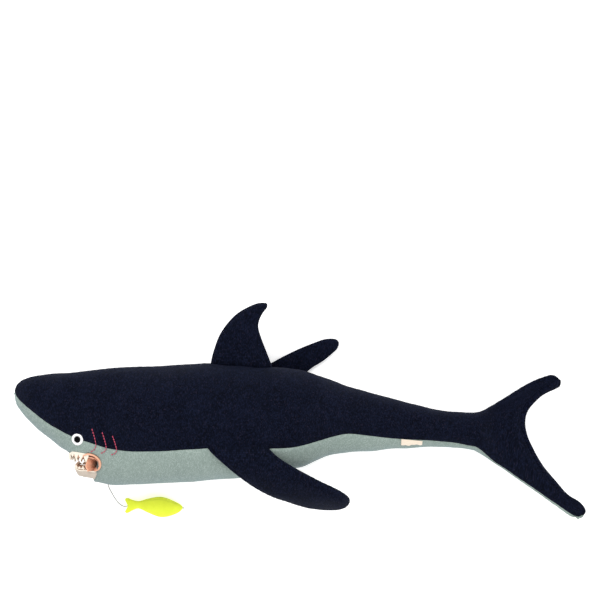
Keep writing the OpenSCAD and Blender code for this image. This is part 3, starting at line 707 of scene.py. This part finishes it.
# %% panels of the body
def body_panel(name, first, last, finish, count, seams):
    """first and last give the panel's edge angles for a row list; the tail continues the same edges."""
    share = np.linspace(0, 1, count)[None, :]
    a0, a1 = first(rows, False), last(rows, False)
    angle = a0 + (a1 - a0) * share
    head = body_surface(head_rows, angle[:head_count], True)
    rear = body_surface(rear_rows, angle[head_count:], False)
    t0, t1 = first(tail_steps, True), last(tail_steps, True)
    tail_angle = t0 + (t1 - t0) * share
    tail = tail_surface(tail_steps, tail_angle)
    grid = np.vstack([head, rear, tail])
    out = outward(grid, 50)
    moved = mouth_dent(settle(grid, out, seams))
    moved[..., 2] = np.maximum(moved[..., 2], 0.25)
    full = with_allowance(moved, out)
    full[..., 2] = np.maximum(full[..., 2], 0.2)
    plain = with_allowance(grid, out)
    along = plain[..., 0] - plain[0, 0, 0]
    across = run_of(plain)[1]
    return grid_piece(name, put(full), finish, (along * MM, across * MM))


def with_allowance(grid, out, depth=2.6):
    """The same panel with its two seam allowances turned in."""
    first_edge = grid[:, :1] - out[:, :1] * depth
    last_edge = grid[:, -1:] - out[:, -1:] * depth
    return np.concatenate([first_edge, grid, last_edge], axis=1)


def back_seam(row_list, tail):
    return np.zeros((len(row_list), 1))


def left_seam(row_list, tail):
    if not tail:
        return seam_angle(row_list)
    start = seam_angle(rows[-1:])[0, 0]
    return start + (math.radians(169) - start) * smooth(row_list * 5)


def right_seam(row_list, tail):
    return -left_seam(row_list, tail)


def right_seam_from_below(row_list, tail):
    return 2 * math.pi - left_seam(row_list, tail)


left_cover = body_panel("left_side_cover", back_seam, left_seam, navy_knit, 96, (1, 2))
right_cover = body_panel("right_side_cover", back_seam, right_seam, navy_knit, 96, (1, 3))
belly_cover = body_panel("belly_cover", left_seam, right_seam_from_below, grey_knit, 90, (2, 3))
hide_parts("left_side_panel", "tail_left_panel")
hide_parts("right_side_panel", "tail_right_panel", "torso_stuffing", "tail_stuffing")
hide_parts("belly_panel", "tail_belly_strip", "head_stuffing")
for piece, colour in ((left_cover, "navy_knit"), (right_cover, "navy_knit"), (belly_cover, "grey_knit")):
    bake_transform(piece)
print("covers:", [len(o.data.polygons) for o in (left_cover, right_cover, belly_cover)])

# %% [markdown]
# ## The fins
# Each fin is two layers of cloth, sewn round the edge, turned and lightly filled, so it is thick at
# the root and thin at a puckered rim. The back fin and the near side fin flare where they are sewn
# to the body. The far side fin lies under the body and is pressed flat.

# %% filling a fin with a cloth simulation
def fill_with_pressure(piece, held, pressure, cap):
    """Swells a sewn piece from inside, with its seams held, and keeps every point within a small reach."""
    scene = bpy.context.scene
    piece.vertex_groups.new(name="held").add([int(k) for k in held], 1.0, "REPLACE")
    filling = piece.modifiers.new("filling", "CLOTH")
    filling.settings.quality = 6
    filling.settings.mass = 0.2
    filling.settings.tension_stiffness = 12
    filling.settings.compression_stiffness = 12
    filling.settings.bending_stiffness = 0.6
    filling.settings.vertex_group_mass = "held"
    filling.settings.use_pressure = True
    filling.settings.uniform_pressure_force = pressure
    filling.settings.effector_weights.gravity = 0
    filling.collision_settings.use_collision = False
    filling.point_cache.frame_start = 1
    filling.point_cache.frame_end = 20
    before = np.array([v.co[:] for v in piece.data.vertices])
    for frame_number in range(1, 21):
        scene.frame_set(frame_number)
    swollen = piece.evaluated_get(bpy.context.evaluated_depsgraph_get()).to_mesh()
    after = np.array([v.co[:] for v in swollen.vertices])
    piece.modifiers.remove(filling)
    scene.frame_set(1)
    move = after - before
    reach = np.linalg.norm(move, axis=1, keepdims=True)
    move = move * np.minimum(1, cap / np.maximum(reach, 1e-9))
    piece.data.vertices.foreach_set("co", (before + move).astype(np.float32).ravel())
    piece.data.update()
    print(piece.name, "swelled by up to, mm:", round(float(np.linalg.norm(move, axis=1).max()) / MM, 2))


print("fin filling ready")

# %% [markdown]
# ## A fin from its two edges
# The leading and the trailing edge give a fin's plan. A ring of points runs round the fin at each step
# from the root to the tip, out over one face and back over the other, and the seam pulls the faces
# together at the rim.

# %% fins as closed pillows
DORSAL_LEAD = [[234, 0], [238.5, 17], [247, 38], [263, 58], [281, 69.5], [298, 75.5]]
DORSAL_TRAIL = [[311, -2.5], [303, 13], [295, 33], [292, 47], [296.5, 60], [305.5, 71]]
PECTORAL_LEAD = [[233, 0], [251, 15], [286, 47], [322, 79], [352, 104], [386, 116]]
PECTORAL_TRAIL = [[303, 0], [324, 15], [361, 39], [389, 60], [401, 82], [398, 107]]
TUCKED_LEAD = [[235, 0], [243, 34], [264, 68], [303, 92], [340, 111], [382, 127.5]]
TUCKED_TRAIL = [[303, 0], [311, 24], [326, 52], [350, 82], [373, 98], [395, 117]]


def fin_shape(lead, trail, t, angle, half, root):
    """Places on the fin's plan and the height of its faces; t runs from the root to the tip."""
    lead_line, rear_line = curve(lead, 300), curve(trail, 300)
    v = (0.5 - 0.5 * np.cos(angle))[..., None]
    t = np.broadcast_to(t, angle.shape)
    tip = np.clip((t - 0.92) / 0.08, 0, 1)[..., None]
    v = 0.5 + (v - 0.5) * np.sqrt(np.maximum(1 - tip ** 2, 0.0004))
    p = on_line(lead_line, t) * (1 - v) + on_line(rear_line, t) * v
    at_root = np.sqrt(1 - np.clip(1 - t / root, 0, 1) ** 2)
    at_tip = np.sqrt(1 - np.clip((t - 0.72) / 0.28, 0, 1) ** 2)
    h = np.maximum(half * (at_root * at_tip), 0.35) * power(np.sin(angle), 0.8)
    return p, h


def fin_rows(count, columns):
    rounded = 0.92 + 0.08 * np.sin(np.linspace(0, math.pi / 2, 12)[1:])
    t = np.concatenate([np.linspace(0, 0.92, count), rounded])[:, None]
    angle = np.linspace(0, 2 * math.pi, columns, endpoint=False)[None, :]
    return t, np.repeat(angle, len(t), axis=0)


def rim_relief(p, h, angle, seed):
    """Lumps on the filled face, and a stitched rim that draws in a few millimetres from the edge."""
    wide = np.abs(np.cos(angle))
    from_rim = (1 - wide) * 30
    run = np.cumsum(np.linalg.norm(np.diff(p, axis=0, prepend=p[:1]), axis=2), axis=0)
    push = 0.55 * lumps(np.concatenate([p, h[..., None]], axis=2), 24, seed)
    push = push * smooth(from_rim / 5) + groove(from_rim - 4.2, 1.5, 0.9) * (np.abs(h) > 0.8)
    push = push + pucker(np.maximum(from_rim - 2, 0), run, 7.5, 0.2, 6, seed + 3) * (np.abs(h) > 0.6)
    return h + np.sign(np.sin(angle)) * push


def fin_piece(name, nodes, place, p, angle, swell):
    marks = ((p[..., 0] - 230) * MM, p[..., 1] * MM)
    piece = grid_piece(name, put(place), navy_knit, marks, wrap=True)
    number = np.arange(place.shape[0] * place.shape[1]).reshape(place.shape[:2])
    rim = np.abs(np.cos(angle)) > 0.93
    held = np.concatenate([number[:3].ravel(), number[-8:].ravel(), number[rim]])
    fill_with_pressure(piece, held, 4, swell)
    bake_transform(piece)
    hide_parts(*nodes)
    return piece


print("fin edges:", len(DORSAL_LEAD) + len(PECTORAL_LEAD) + len(TUCKED_LEAD), "points along the fronts")

# %% [markdown]
# ## The back fin
# The back fin stands straight up. Its root widens, and follows the slope of the back.

# %% the back fin
t, angle = fin_rows(54, 96)
p, h = fin_shape(DORSAL_LEAD, DORSAL_TRAIL, t, angle, 9.0, 0.14)
h = rim_relief(p, h, angle, 51)
flare = 1 + 0.35 * np.exp(-p[..., 1] / 5)
dorsal_base = 78.9
back_line = np.interp(p[..., 0], SECTIONS[:, 0], SECTIONS[:, 1]) - 3
sunk = (dorsal_base - back_line) * np.exp(-np.maximum(p[..., 1], 0) / 7)
place = np.stack([p[..., 0], dorsal_base + p[..., 1] - sunk, CORE + h * flare], axis=2)
dorsal_cover = fin_piece("dorsal_fin_cover",
                         ("dorsal_left_panel", "dorsal_right_panel", "dorsal_stuffing"), place, p, angle,
                         1.5 * MM)

print("fin made:", dorsal_cover.name)

# %% [markdown]
# ## The side fins
# The near side fin leaves the flank level, then droops over the belly on a wide bend. The far side fin
# stays flat beneath the body. The root of each is sunk into the flank, so that no gap opens there when
# the fin is lifted.

# %% the side fins
t, angle = fin_rows(72, 110)
p, h = fin_shape(PECTORAL_LEAD, PECTORAL_TRAIL, t, angle, 8.0, 0.24)
h = rim_relief(p, h, angle, 61)
bend_radius, bend_limit = 70.0, math.radians(62)
turn = np.minimum(p[..., 1] / bend_radius, bend_limit)
rest = np.maximum(p[..., 1] - bend_radius * bend_limit, 0)
drop = bend_radius * np.sin(turn) + rest * np.cos(turn) + h * np.sin(turn)
rise = bend_radius * (1 - np.cos(turn)) + rest * np.sin(turn) - h * np.cos(turn)
fin_base, fin_height = -16, 122.4
tuck = np.exp(-p[..., 1] / 4)
flank_height = middle_at(p[..., 0]) + half_at(p[..., 0], -11.5)
sewn = fin_height - np.minimum(flank_height - 1.5, 119.9)
place = np.stack([p[..., 0], fin_base - drop + 4.5 * tuck, fin_height - rise - sewn * tuck], axis=2)
left_fin = fin_piece("left_pectoral_cover",
                     ("left_pectoral_top", "left_pectoral_under", "left_pectoral_stuffing"), place, p, angle,
                     1.5 * MM)

tucked_height = 4.4
p, h = fin_shape(TUCKED_LEAD, TUCKED_TRAIL, t, angle, 4.0, 0.1)
sewn_up = 6 * np.exp(-p[..., 1] / 5)
place = np.stack([p[..., 0], fin_base + p[..., 1], tucked_height + h + sewn_up], axis=2)
right_fin = fin_piece("right_pectoral_cover",
                      ("right_pectoral_top", "right_pectoral_under", "right_pectoral_stuffing"), place, p,
                      angle, 0.3 * MM)
print("fins made:", left_fin.name, right_fin.name)

# %% [markdown]
# ## Eyes
# The eyes are satin stitch: threads laid side by side from the rim to the middle, which raises a
# glossy ring. A black disc of the same stitch fills it.

# %% embroidered eyes
EYE = (82, -6.8)


def flank(s, y, side, lift):
    """A point of one flank, lifted off it; side is 1 on the flank that faces up and -1 on the other."""
    return np.array([s, y, middle_at(s) + side * (half_at(s, y) + lift)])


def satin_disc(name, side, inner, outer, height, finish, threads, node, colour):
    """Raised threads from the inner to the outer radius."""
    around = np.linspace(0, 2 * math.pi, threads * 6, endpoint=False)
    across = np.linspace(0, 1, 12)
    grid = np.zeros((len(across), len(around), 3))
    cloth = np.zeros((len(across), len(around)))
    for i, share in enumerate(across):
        radius = inner + (outer - inner) * share
        dome = height * (math.sin(math.pi * (0.12 + 0.84 * share)) if inner else math.cos(share * 1.5))
        for j, a in enumerate(around):
            ragged = 1 + 0.018 * math.sin(threads * a + 3 * math.sin(5 * a)) * share
            s, y = EYE[0] + radius * ragged * math.cos(a), EYE[1] + radius * ragged * math.sin(a)
            rib = 0.13 * math.sin(threads * a)
            grid[i, j] = flank(s, y, side, 0.2 + max(dome + rib, 0.05))
            cloth[i, j] = a * threads / 6.283 * 0.5 * MM
    piece = grid_piece(name, put(grid), finish, (cloth, cloth * 0), wrap=True)
    belongs(piece, "body", colour, node)


for word, side in (("left", 1), ("right", -1)):
    satin_disc(word + "_eye_ring_stitching", side, 3.9, 7.0, 1.1, white_thread, 60,
               word + "_eye_ring", "white_thread")
    satin_disc(word + "_pupil_stitching", side, 0.05, 4.5, 1.0, black_thread, 40,
               word + "_pupil", "black_thread")

print("eyes stitched")

# %% [markdown]
# ## Gills
# Red back stitches mark three curved gills on each flank. Each stitch comes up through the cloth, lies
# on it as a short fat thread and goes down again, so it is thickest in the middle.

# %% gill stitches
GILL = [[99, 6], [102, -4], [103.5, -13], [101, -18.5], [96, -21.5]]


def thread_mesh(name, lines, width, finish):
    """Fat stitches: each line is a row of points, drawn as a round thread that tapers into the cloth."""
    points, faces, cloth = [], [], []
    sides = 10
    for line in lines:
        line = np.asarray(line)
        ahead = np.gradient(line, axis=0)
        ahead /= np.linalg.norm(ahead, axis=1, keepdims=True)
        up = np.cross(ahead, [0.3, 0.2, 0.93])
        up /= np.linalg.norm(up, axis=1, keepdims=True)
        third = np.cross(ahead, up)
        share = np.linspace(0, 1, len(line))
        thick = width / 2 * (0.45 + 0.55 * np.sin(math.pi * share) ** 0.5)
        base = len(points)
        reach = np.concatenate([[0], np.cumsum(np.linalg.norm(np.diff(line, axis=0), axis=1))])
        for i in range(len(line)):
            for k in range(sides):
                a = 2 * math.pi * k / sides
                points.append(line[i] + thick[i] * (math.cos(a) * up[i] + math.sin(a) * third[i]))
                cloth.append((reach[i], a * width / 2, 0))
        for i in range(len(line) - 1):
            for k in range(sides):
                n = (k + 1) % sides
                here, there = base + i * sides, base + (i + 1) * sides
                faces.append((here + k, there + k, there + n, here + n))
        faces.append(tuple(base + k for k in range(sides)))
        faces.append(tuple(base + (len(line) - 1) * sides + k for k in reversed(range(sides))))
    return link_piece(name, points, faces, cloth, finish)


def gill_stitches(name, side, node):
    lines = []
    stitches = 9
    for row in range(3):
        line = [[s + 1 + 12.3 * row, y - 3.9 * row * (1 - i / 6)] for i, (s, y) in enumerate(GILL)]
        path = curve(line, 200)
        for n in range(stitches):
            part = path[int(199 * n / stitches):int(199 * (n + 0.72) / stitches) + 1]
            share = np.linspace(0, 1, 12)
            chosen = part[(share * (len(part) - 1)).astype(int)]
            lines.append([put(flank(s, y, side, 0.15 + 0.95 * math.sin(math.pi * f) ** 0.6))
                          for (s, y), f in zip(chosen, share)])
    belongs(thread_mesh(name, lines, 1.15 * MM, red_thread), "body", "red_thread", node)


gill_stitches("left_gill_threads", 1, "left_gill_stitches")
gill_stitches("right_gill_threads", -1, "right_gill_stitches")
print("gills stitched")

# %% [markdown]
# ## The mouth
# The mouth is a pocket of felt. Its roof is a pink lining, its far wall runs down to the throat, and
# thick cream felt cut in points makes the teeth. The lower jaw is a small padded flap of beige felt,
# lined in cream.

# %% thick felt and the rim of the mouth
def felt_slab(name, upper, lower, finish, body, nodes, colour):
    """Two grids of points, joined all round, make a thick piece of felt with a cut edge."""
    lines, columns = upper.shape[:2]
    both = np.concatenate([upper.reshape(-1, 3), lower.reshape(-1, 3)])
    size = lines * columns
    faces = []
    for i in range(lines - 1):
        for j in range(columns - 1):
            a, d = i * columns + j, (i + 1) * columns + j
            b, c = a + 1, d + 1
            faces += [(a, b, c, d), (size + d, size + c, size + b, size + a)]
    ring = [(0, j) for j in range(columns)] + [(i, columns - 1) for i in range(1, lines)]
    ring += [(lines - 1, j) for j in range(columns - 2, -1, -1)] + [(i, 0) for i in range(lines - 2, 0, -1)]
    flat = [i * columns + j for i, j in ring]
    for a, b in zip(flat, flat[1:] + flat[:1]):
        faces.append((a, size + a, size + b, b))
    along, across = run_of(upper)
    marks = np.stack([along, across, 0 * along], axis=2).reshape(-1, 3) * MM
    piece = link_piece(name, put(both), faces, np.vstack([marks, marks]), finish)
    edge = piece.modifiers.new("soft_edge", "BEVEL")
    edge.width = 0.25 * MM
    edge.segments = 2
    edge.limit_method = "ANGLE"
    edge.angle_limit = math.radians(50)
    belongs(piece, body, colour, *nodes)


def rim_half(s, side):
    """How far out the rim is on one side; the roof slopes across, so the two sides differ."""
    w = 30.0
    for _ in range(12):
        w = 0.5 * w + 0.5 * half_at(s, palate_height(s, CORE + side * w))
    return w


print("felt helpers ready")

# %% [markdown]
# ## Roof and throat
# The roof is one piece of felt from rim to rim. Behind it the throat lining hangs as a loose wall with
# soft folds, and its two wings reach the corners of the mouth.

# %% the roof and the throat
s = np.linspace(70.5, 101.6, 30)[:, None]
across = np.linspace(0, 1, 40)[None, :]
far_rim, near_rim = (np.maximum(rim_half(s, side) - 1.6, 1) for side in (-1, 1))
wide = (1 - across) * -far_rim + across * near_rim
unevenness = lumps(np.stack([s + 0 * wide, wide, 0 * wide], axis=2), 9, 5)
roof = palate_height(s, CORE + wide) - 0.5 + 0.25 * unevenness
palate = np.stack([s + 0 * wide, roof, CORE + wide], axis=2)
felt_slab("palate_lining_felt", palate, palate - [0, 1, 0], pink_felt, "body", ["palate_lining"], "pink_felt")

wing = np.linspace(-36, 36, 44)[None, :]
wall_s = 101.6 - 9 * (np.abs(wing) / 36) ** 2.4
down = np.linspace(0, 1, 16)[:, None]
high = palate_height(101, CORE + wing) - 1.8
fold = 0.5 * np.sin(down * 9 + wing / 6) + 0.35 * np.sin(wing / 2.3 + down * 3)
front = np.stack([wall_s + fold - 0.6 - 1.2 * np.sin(down * math.pi), high + (-45.4 - high) * down,
                  CORE + wing + 0 * down], axis=2)
felt_slab("throat_lining_felt", front, front + [1.2, 0, 0], pink_felt, "body", ["throat_lining"], "pink_felt")

print("roof and throat lined")

# %% [markdown]
# ## Mouth corners
# At each corner the pink felt is turned out over the cut edge of the cover, so it makes a rolled,
# C-shaped collar. From there it goes in to the throat like the side of a cup.

# %% rolled collars at the corners
COLLAR = [[88, -25.2], [94, -23], [100.5, -24], [106, -27.2], [109.3, -31.8], [109.8, -37], [107.5, -42.4],
          [102, -45.3]]
THROAT = [[89, -31.5], [93, -30.6], [97.5, -31], [101.5, -33], [103, -36], [102.6, -39.5], [100, -42.4],
          [95, -44.6]]


def mouth_collar(name, side):
    """share runs from under the cover's edge, over the roll, and in to the throat."""
    around = curve(COLLAR, 60)
    inner = curve(THROAT, 60)
    share = np.concatenate([np.linspace(-0.05, 0.25, 12), np.linspace(0.3, 1, 12)])
    grid = np.zeros((len(share), 60, 3))
    for i, f in enumerate(share):
        spread = max(f, 0) ** 1.1
        rolled = 0.2 + 1.5 * math.sin(math.pi * min(max(f, 0) / 0.25, 1) * 0.62) ** 0.8
        lift = -1.2 if f < 0 else rolled if f < 0.25 else rolled - 19 * ((f - 0.25) / 0.75) ** 0.85
        for j in range(60):
            s, y = around[j] * (1 - spread) + inner[j] * spread
            edge = flank(around[j][0], around[j][1], side, 0)
            ripple = 0.35 * math.sin(j * 0.55) * math.sin(math.pi * min(max(f, 0), 1))
            grid[i, j] = (s, y, edge[2] + side * (lift + ripple))
    grid = grid[:, ::side]
    felt_slab(name, grid, grid - [0, 0, side], pink_felt, "body", [], "pink_felt")


mouth_collar("left_mouth_collar", 1)
mouth_collar("right_mouth_collar", -1)
print("collars rolled")

# %% [markdown]
# ## Teeth
# The upper teeth are one strip of cream felt, lapped over the rim of the mouth and cut by hand into
# uneven points.

# %% the upper teeth
def tooth_saw(reach, pitch, seed):
    """A zigzag from 0 to 1 along a strip, with teeth of uneven size."""
    teeth = max(3, round(reach[-1] / pitch))
    place = reach / reach[-1] * teeth
    dice = np.random.default_rng(seed)
    size = dice.uniform(0.62, 1.25, teeth + 1)[np.minimum(place.astype(int), teeth)]
    saw = 1 - np.abs(2 * (place % 1) - 1)
    return np.minimum(saw * 1.1, 1.0) * size


def reach_of(path):
    return np.concatenate([[0], np.cumsum(np.linalg.norm(np.diff(path, axis=0), axis=1))])


def upper_teeth_strip():
    """The strip follows the rim of the mouth from the near corner, round the front, to the far one."""
    side_s = np.linspace(95, 70, 30)
    near = np.stack([side_s, rim_half(side_s, 1)], axis=1)
    far = np.stack([side_s, -rim_half(side_s, -1)], axis=1)[::-1]
    front_w = np.linspace(near[-1, 1], far[0, 1], 14)[1:-1]
    middle = (near[-1, 1] + far[0, 1]) / 2
    front_row = np.stack([67.2 + 2.6 * ((front_w - middle) / (near[-1, 1] - middle)) ** 2, front_w], axis=1)
    path = curve(np.vstack([near, front_row, far]), 480)
    saw = tooth_saw(reach_of(path), 6.6, 4)
    s, w = path[:, 0], path[:, 1]
    rim_y = palate_height(s, CORE + w)
    beside = smooth((s - 70) / 5)
    down = np.linspace(0, 1, 12)[:, None]
    above = 2.6 * beside * (1 - down / 0.4) * (down < 0.4)
    below = (0.1 + 6.0 * saw) * np.maximum((down - 0.4) / 0.6, 0)
    y = rim_y + above - below
    out = half_at(s + 0 * down, rim_y + above) - half_at(s, rim_y)
    z = w + np.sign(w) * beside * (out + 1.0) - np.sign(w) * beside * 0.16 * below
    grid = np.stack([s + 0 * down - 0.9 * (1 - beside), y, CORE + z], axis=2)
    thick = np.stack([-1.2 * (1 - beside) + 0 * down, 0 * y, np.sign(w) * 1.2 * beside + 0 * down], axis=2)
    felt_slab("upper_teeth_felt", grid, grid - thick, cream_felt, "body", ["upper_teeth"], "cream_felt")


upper_teeth_strip()
print("upper teeth cut")

# %% [markdown]
# ## Lower jaw
# Beige felt wraps a small wad of filling, so the jaw is a soft shallow scoop.

# %% the jaw
jaw_root, jaw_tip, jaw_top = 100.2, 73.0, -44.6
jaw_length = 27.2


def jaw_half(s):
    return 34 * np.sqrt(np.clip((s - 66) / 34.2, 0, 1))


js = jaw_tip + (jaw_root - jaw_tip) * np.linspace(0, 1, 34)[:, None] ** 1.2
around = np.linspace(0, math.pi, 70)[None, :]
bottom = -51.5 - 6.5 * np.sqrt(np.clip((js - jaw_tip) / jaw_length, 0, 1))
deep = jaw_top - 1.4 - bottom
closing = np.sqrt(np.clip((js - jaw_tip + 0.3) / 6, 0, 1))
jy = jaw_top - 1.4 - deep * closing * np.sin(around) ** 0.7
jz = CORE + jaw_half(js) * power(np.cos(around), 0.8)
jy = jy + 3.2 * np.exp(-(js - jaw_tip) / 3.5)
slant = ((js - jaw_tip) / jaw_length) ** 2 * (3.0 - 6.5 * np.sin(around) ** 1.5)
jaw_grid = np.stack([js + slant, jy, jz], axis=2)
jaw_end = np.array([97.5, -50.5, CORE])
folded_in = [jaw_end + (jaw_grid[-1] - jaw_end) * k + [0.6 * (1 - k), 0, 0] for k in (0.96, 0.8, 0.5, 0.15)]
jaw_grid = np.concatenate([jaw_grid, np.array(folded_in)], axis=0)
jn = normals(jaw_grid)
jn *= np.sign((jn * (jaw_grid - [88, -48, CORE])).sum(axis=2).mean())
jaw_grid = jaw_grid + jn * (0.9 * lumps(jaw_grid, 16, 71) - 0.3)[..., None]
jaw_cover = grid_piece("jaw_cover_felt", put(jaw_grid), beige_felt, tuple(x * MM for x in run_of(jaw_grid)))
belongs(jaw_cover, "jaw", "beige_felt", "jaw_cover", "jaw_stuffing")

ls = jaw_tip + 0.2 + (jaw_root + 4 - jaw_tip) * np.linspace(0, 1, 26)[:, None]
lw = np.linspace(-1, 1, 40)[None, :] * (jaw_half(ls) - 0.3)
sag = 1.2 * (1 - (lw / np.maximum(jaw_half(ls), 1)) ** 2) * np.clip((jaw_root - ls) / 27, 0, 1)
curl_up = 3.2 * np.exp(-(ls - jaw_tip) / 3.5) + 0.35 * np.sin(lw / 3.1 + ls / 5)
lining = np.stack([ls + 0 * lw, jaw_top - 0.6 - sag + curl_up, CORE + lw], axis=2)
felt_slab("jaw_lining_felt", lining, lining - [0, 1.3, 0], cream_felt, "jaw", ["jaw_lining"], "cream_felt")

print("jaw made")

# %% [markdown]
# ## Lower teeth
# The lower strip stands on the rim of the jaw, from one corner round the front to the other.

# %% the lower teeth
def lower_teeth_strip(path, y_root, height, pitch, thickness):
    saw = tooth_saw(reach_of(path), pitch, 9)
    ahead = np.gradient(path, axis=0)
    ahead /= np.linalg.norm(ahead, axis=1, keepdims=True)
    inwards = np.stack([-ahead[:, 1], ahead[:, 0]], axis=1)
    inwards *= np.sign((([88, CORE] - path) * inwards).sum(axis=1))[:, None]
    up = np.linspace(0, 1, 7)[:, None]
    grid = np.stack([path[:, 0] + inwards[:, 0] * 0.6 * up * saw, y_root + height * up * saw,
                     path[:, 1] + inwards[:, 1] * 0.6 * up * saw], axis=2)
    back = grid + np.stack([inwards[:, 0], 0 * inwards[:, 0], inwards[:, 1]], axis=1) * thickness
    felt_slab("lower_teeth_felt", grid, back, cream_felt, "jaw", ["lower_teeth"], "cream_felt")


side_s = np.linspace(87.2, 73.8, 40)
near = np.stack([side_s, CORE + jaw_half(side_s) - 1.0], axis=1)
front_z = np.linspace(near[-1, 1], 2 * CORE - near[-1, 1], 16)[1:-1]
front_row = np.stack([0 * front_z + 73.8, front_z], axis=1)
jaw_path = curve(np.vstack([near[::4], front_row[::4], near[::-4] * [1, -1] + [0, 2 * CORE]]), 260)
jaw_rim = jaw_top + 0.1 + 2.2 * np.exp(-(jaw_path[:, 0] - jaw_tip) / 4)
lower_teeth_strip(jaw_path, jaw_rim, 3.6, 6.0, 1.2)
print("mouth made")

# %% [markdown]
# ## The felt fish
# The fish is two layers of bright felt, sewn close to the edge and filled, with a forked tail that
# stays flat. Its stitching ends in a small knot at the nose. Each row below gives the distance from
# the tail's tips, how high the middle is, and half the depth.

# %% the fish
FISH = np.array([[0, 0, 7.6], [1.5, 0, 9.2], [4.5, 0.2, 9], [9, 0.5, 6.8], [17, 1, 4.6], [27, 0.2, 8],
                 [38, -1, 11.4], [46, -1.8, 12.4], [54, -2.4, 10.8], [63, -2.9, 7.3], [68.5, -2.8, 4.2],
                 [71, -2.7, 1.6]])
fish_place = (125, -98.8, 7.1)
fish_rows = curve(FISH, 84)
fish_rows = np.vstack([fish_rows, fish_rows[-1:] + [0.5, 0, -0.9]])
angle = np.linspace(0, 2 * math.pi, 80, endpoint=False)[None, :]
fu, fy, fd = (fish_rows[:, [k]] for k in range(3))
fv = np.cos(angle)
notch = 4 * (1 - np.abs(fv)) * (1 - np.clip(fu / 17, 0, 1))
full = 2.4 + 4.6 * smooth((fu - 14) / 22)
full = full * np.sqrt(np.maximum(1 - np.clip((fu - 48) / 24, 0, 1) ** 2.2, 0))
fh = np.maximum(full, 0.9)
fold = 1 - 0.16 * np.exp(-((np.abs(fv) - 0.86) / 0.05) ** 2)
fz = fh * power(np.sin(angle), 0.62) * fold
fpoint = np.stack([fish_place[0] + fu + notch, fish_place[1] + fy + fd * fv, fish_place[2] + fz], axis=2)
rough = 0.3 * lumps(fpoint, 12, 81) * smooth(fh / 4)
fpoint[..., 2] += np.sign(np.sin(angle)) * rough
fpoint[..., 2] = np.maximum(fpoint[..., 2], 0.2)
fish_piece = grid_piece("felt_fish", put(fpoint), lime_felt,
                        ((fu + 0 * fv) * MM, (fd * fv + 0 * fu) * MM), wrap=True)
belongs(fish_piece, "fish", "lime_felt", "fish_top_panel", "fish_back_panel", "fish_stuffing")

nose_knot = knot_piece("fish_nose_thread_knot", put([197.4, -101.5, 7.1]), 2.6 * MM, white_thread)
belongs(nose_knot, "fish", "white_thread", "fish_nose_knot")
print("fish made")

# %% [markdown]
# ## The sewn-in label
# A short loop of cotton ribbon is caught in the lower seam near the tail. It hangs flat against the
# flank and has curled a little with handling. Nothing is printed on it.

# %% the label
lu = np.linspace(0, 1, 44)[:, None]
lv = np.linspace(0, 2, 44)[None, :]
hang = 1 - np.abs(lv - 1)
label_s = 464 + 26 * lu
label_y = -11.5 - 3 * lu - (7.6 - 2.2 * smooth((lu - 0.35) / 0.3) + 0.4 * np.sin(lu * 23)) * hang
curl = 0.55 + 0.6 * (1 + np.cos(math.pi * lv / 2)) + 0.7 * hang ** 2
curl = curl + (0.5 * np.sin(lu * 9 + 1 + 2 * hang) + 0.3 * np.sin(lu * 26 - 3 * hang)) * hang
label = np.array([[flank(label_s[i, 0], label_y[i, j], 1, curl[i, j]) for j in range(44)]
                  for i in range(44)])
label_piece = grid_piece("ribbon_label", put(label), ribbon, tuple(x * MM for x in run_of(label)))
solid = label_piece.modifiers.new("ribbon_thickness", "SOLIDIFY")
solid.thickness = 0.4 * MM
solid.offset = 0
belongs(label_piece, "tail", "cotton_ribbon", "sewn_label")
label_run = run_of(label)
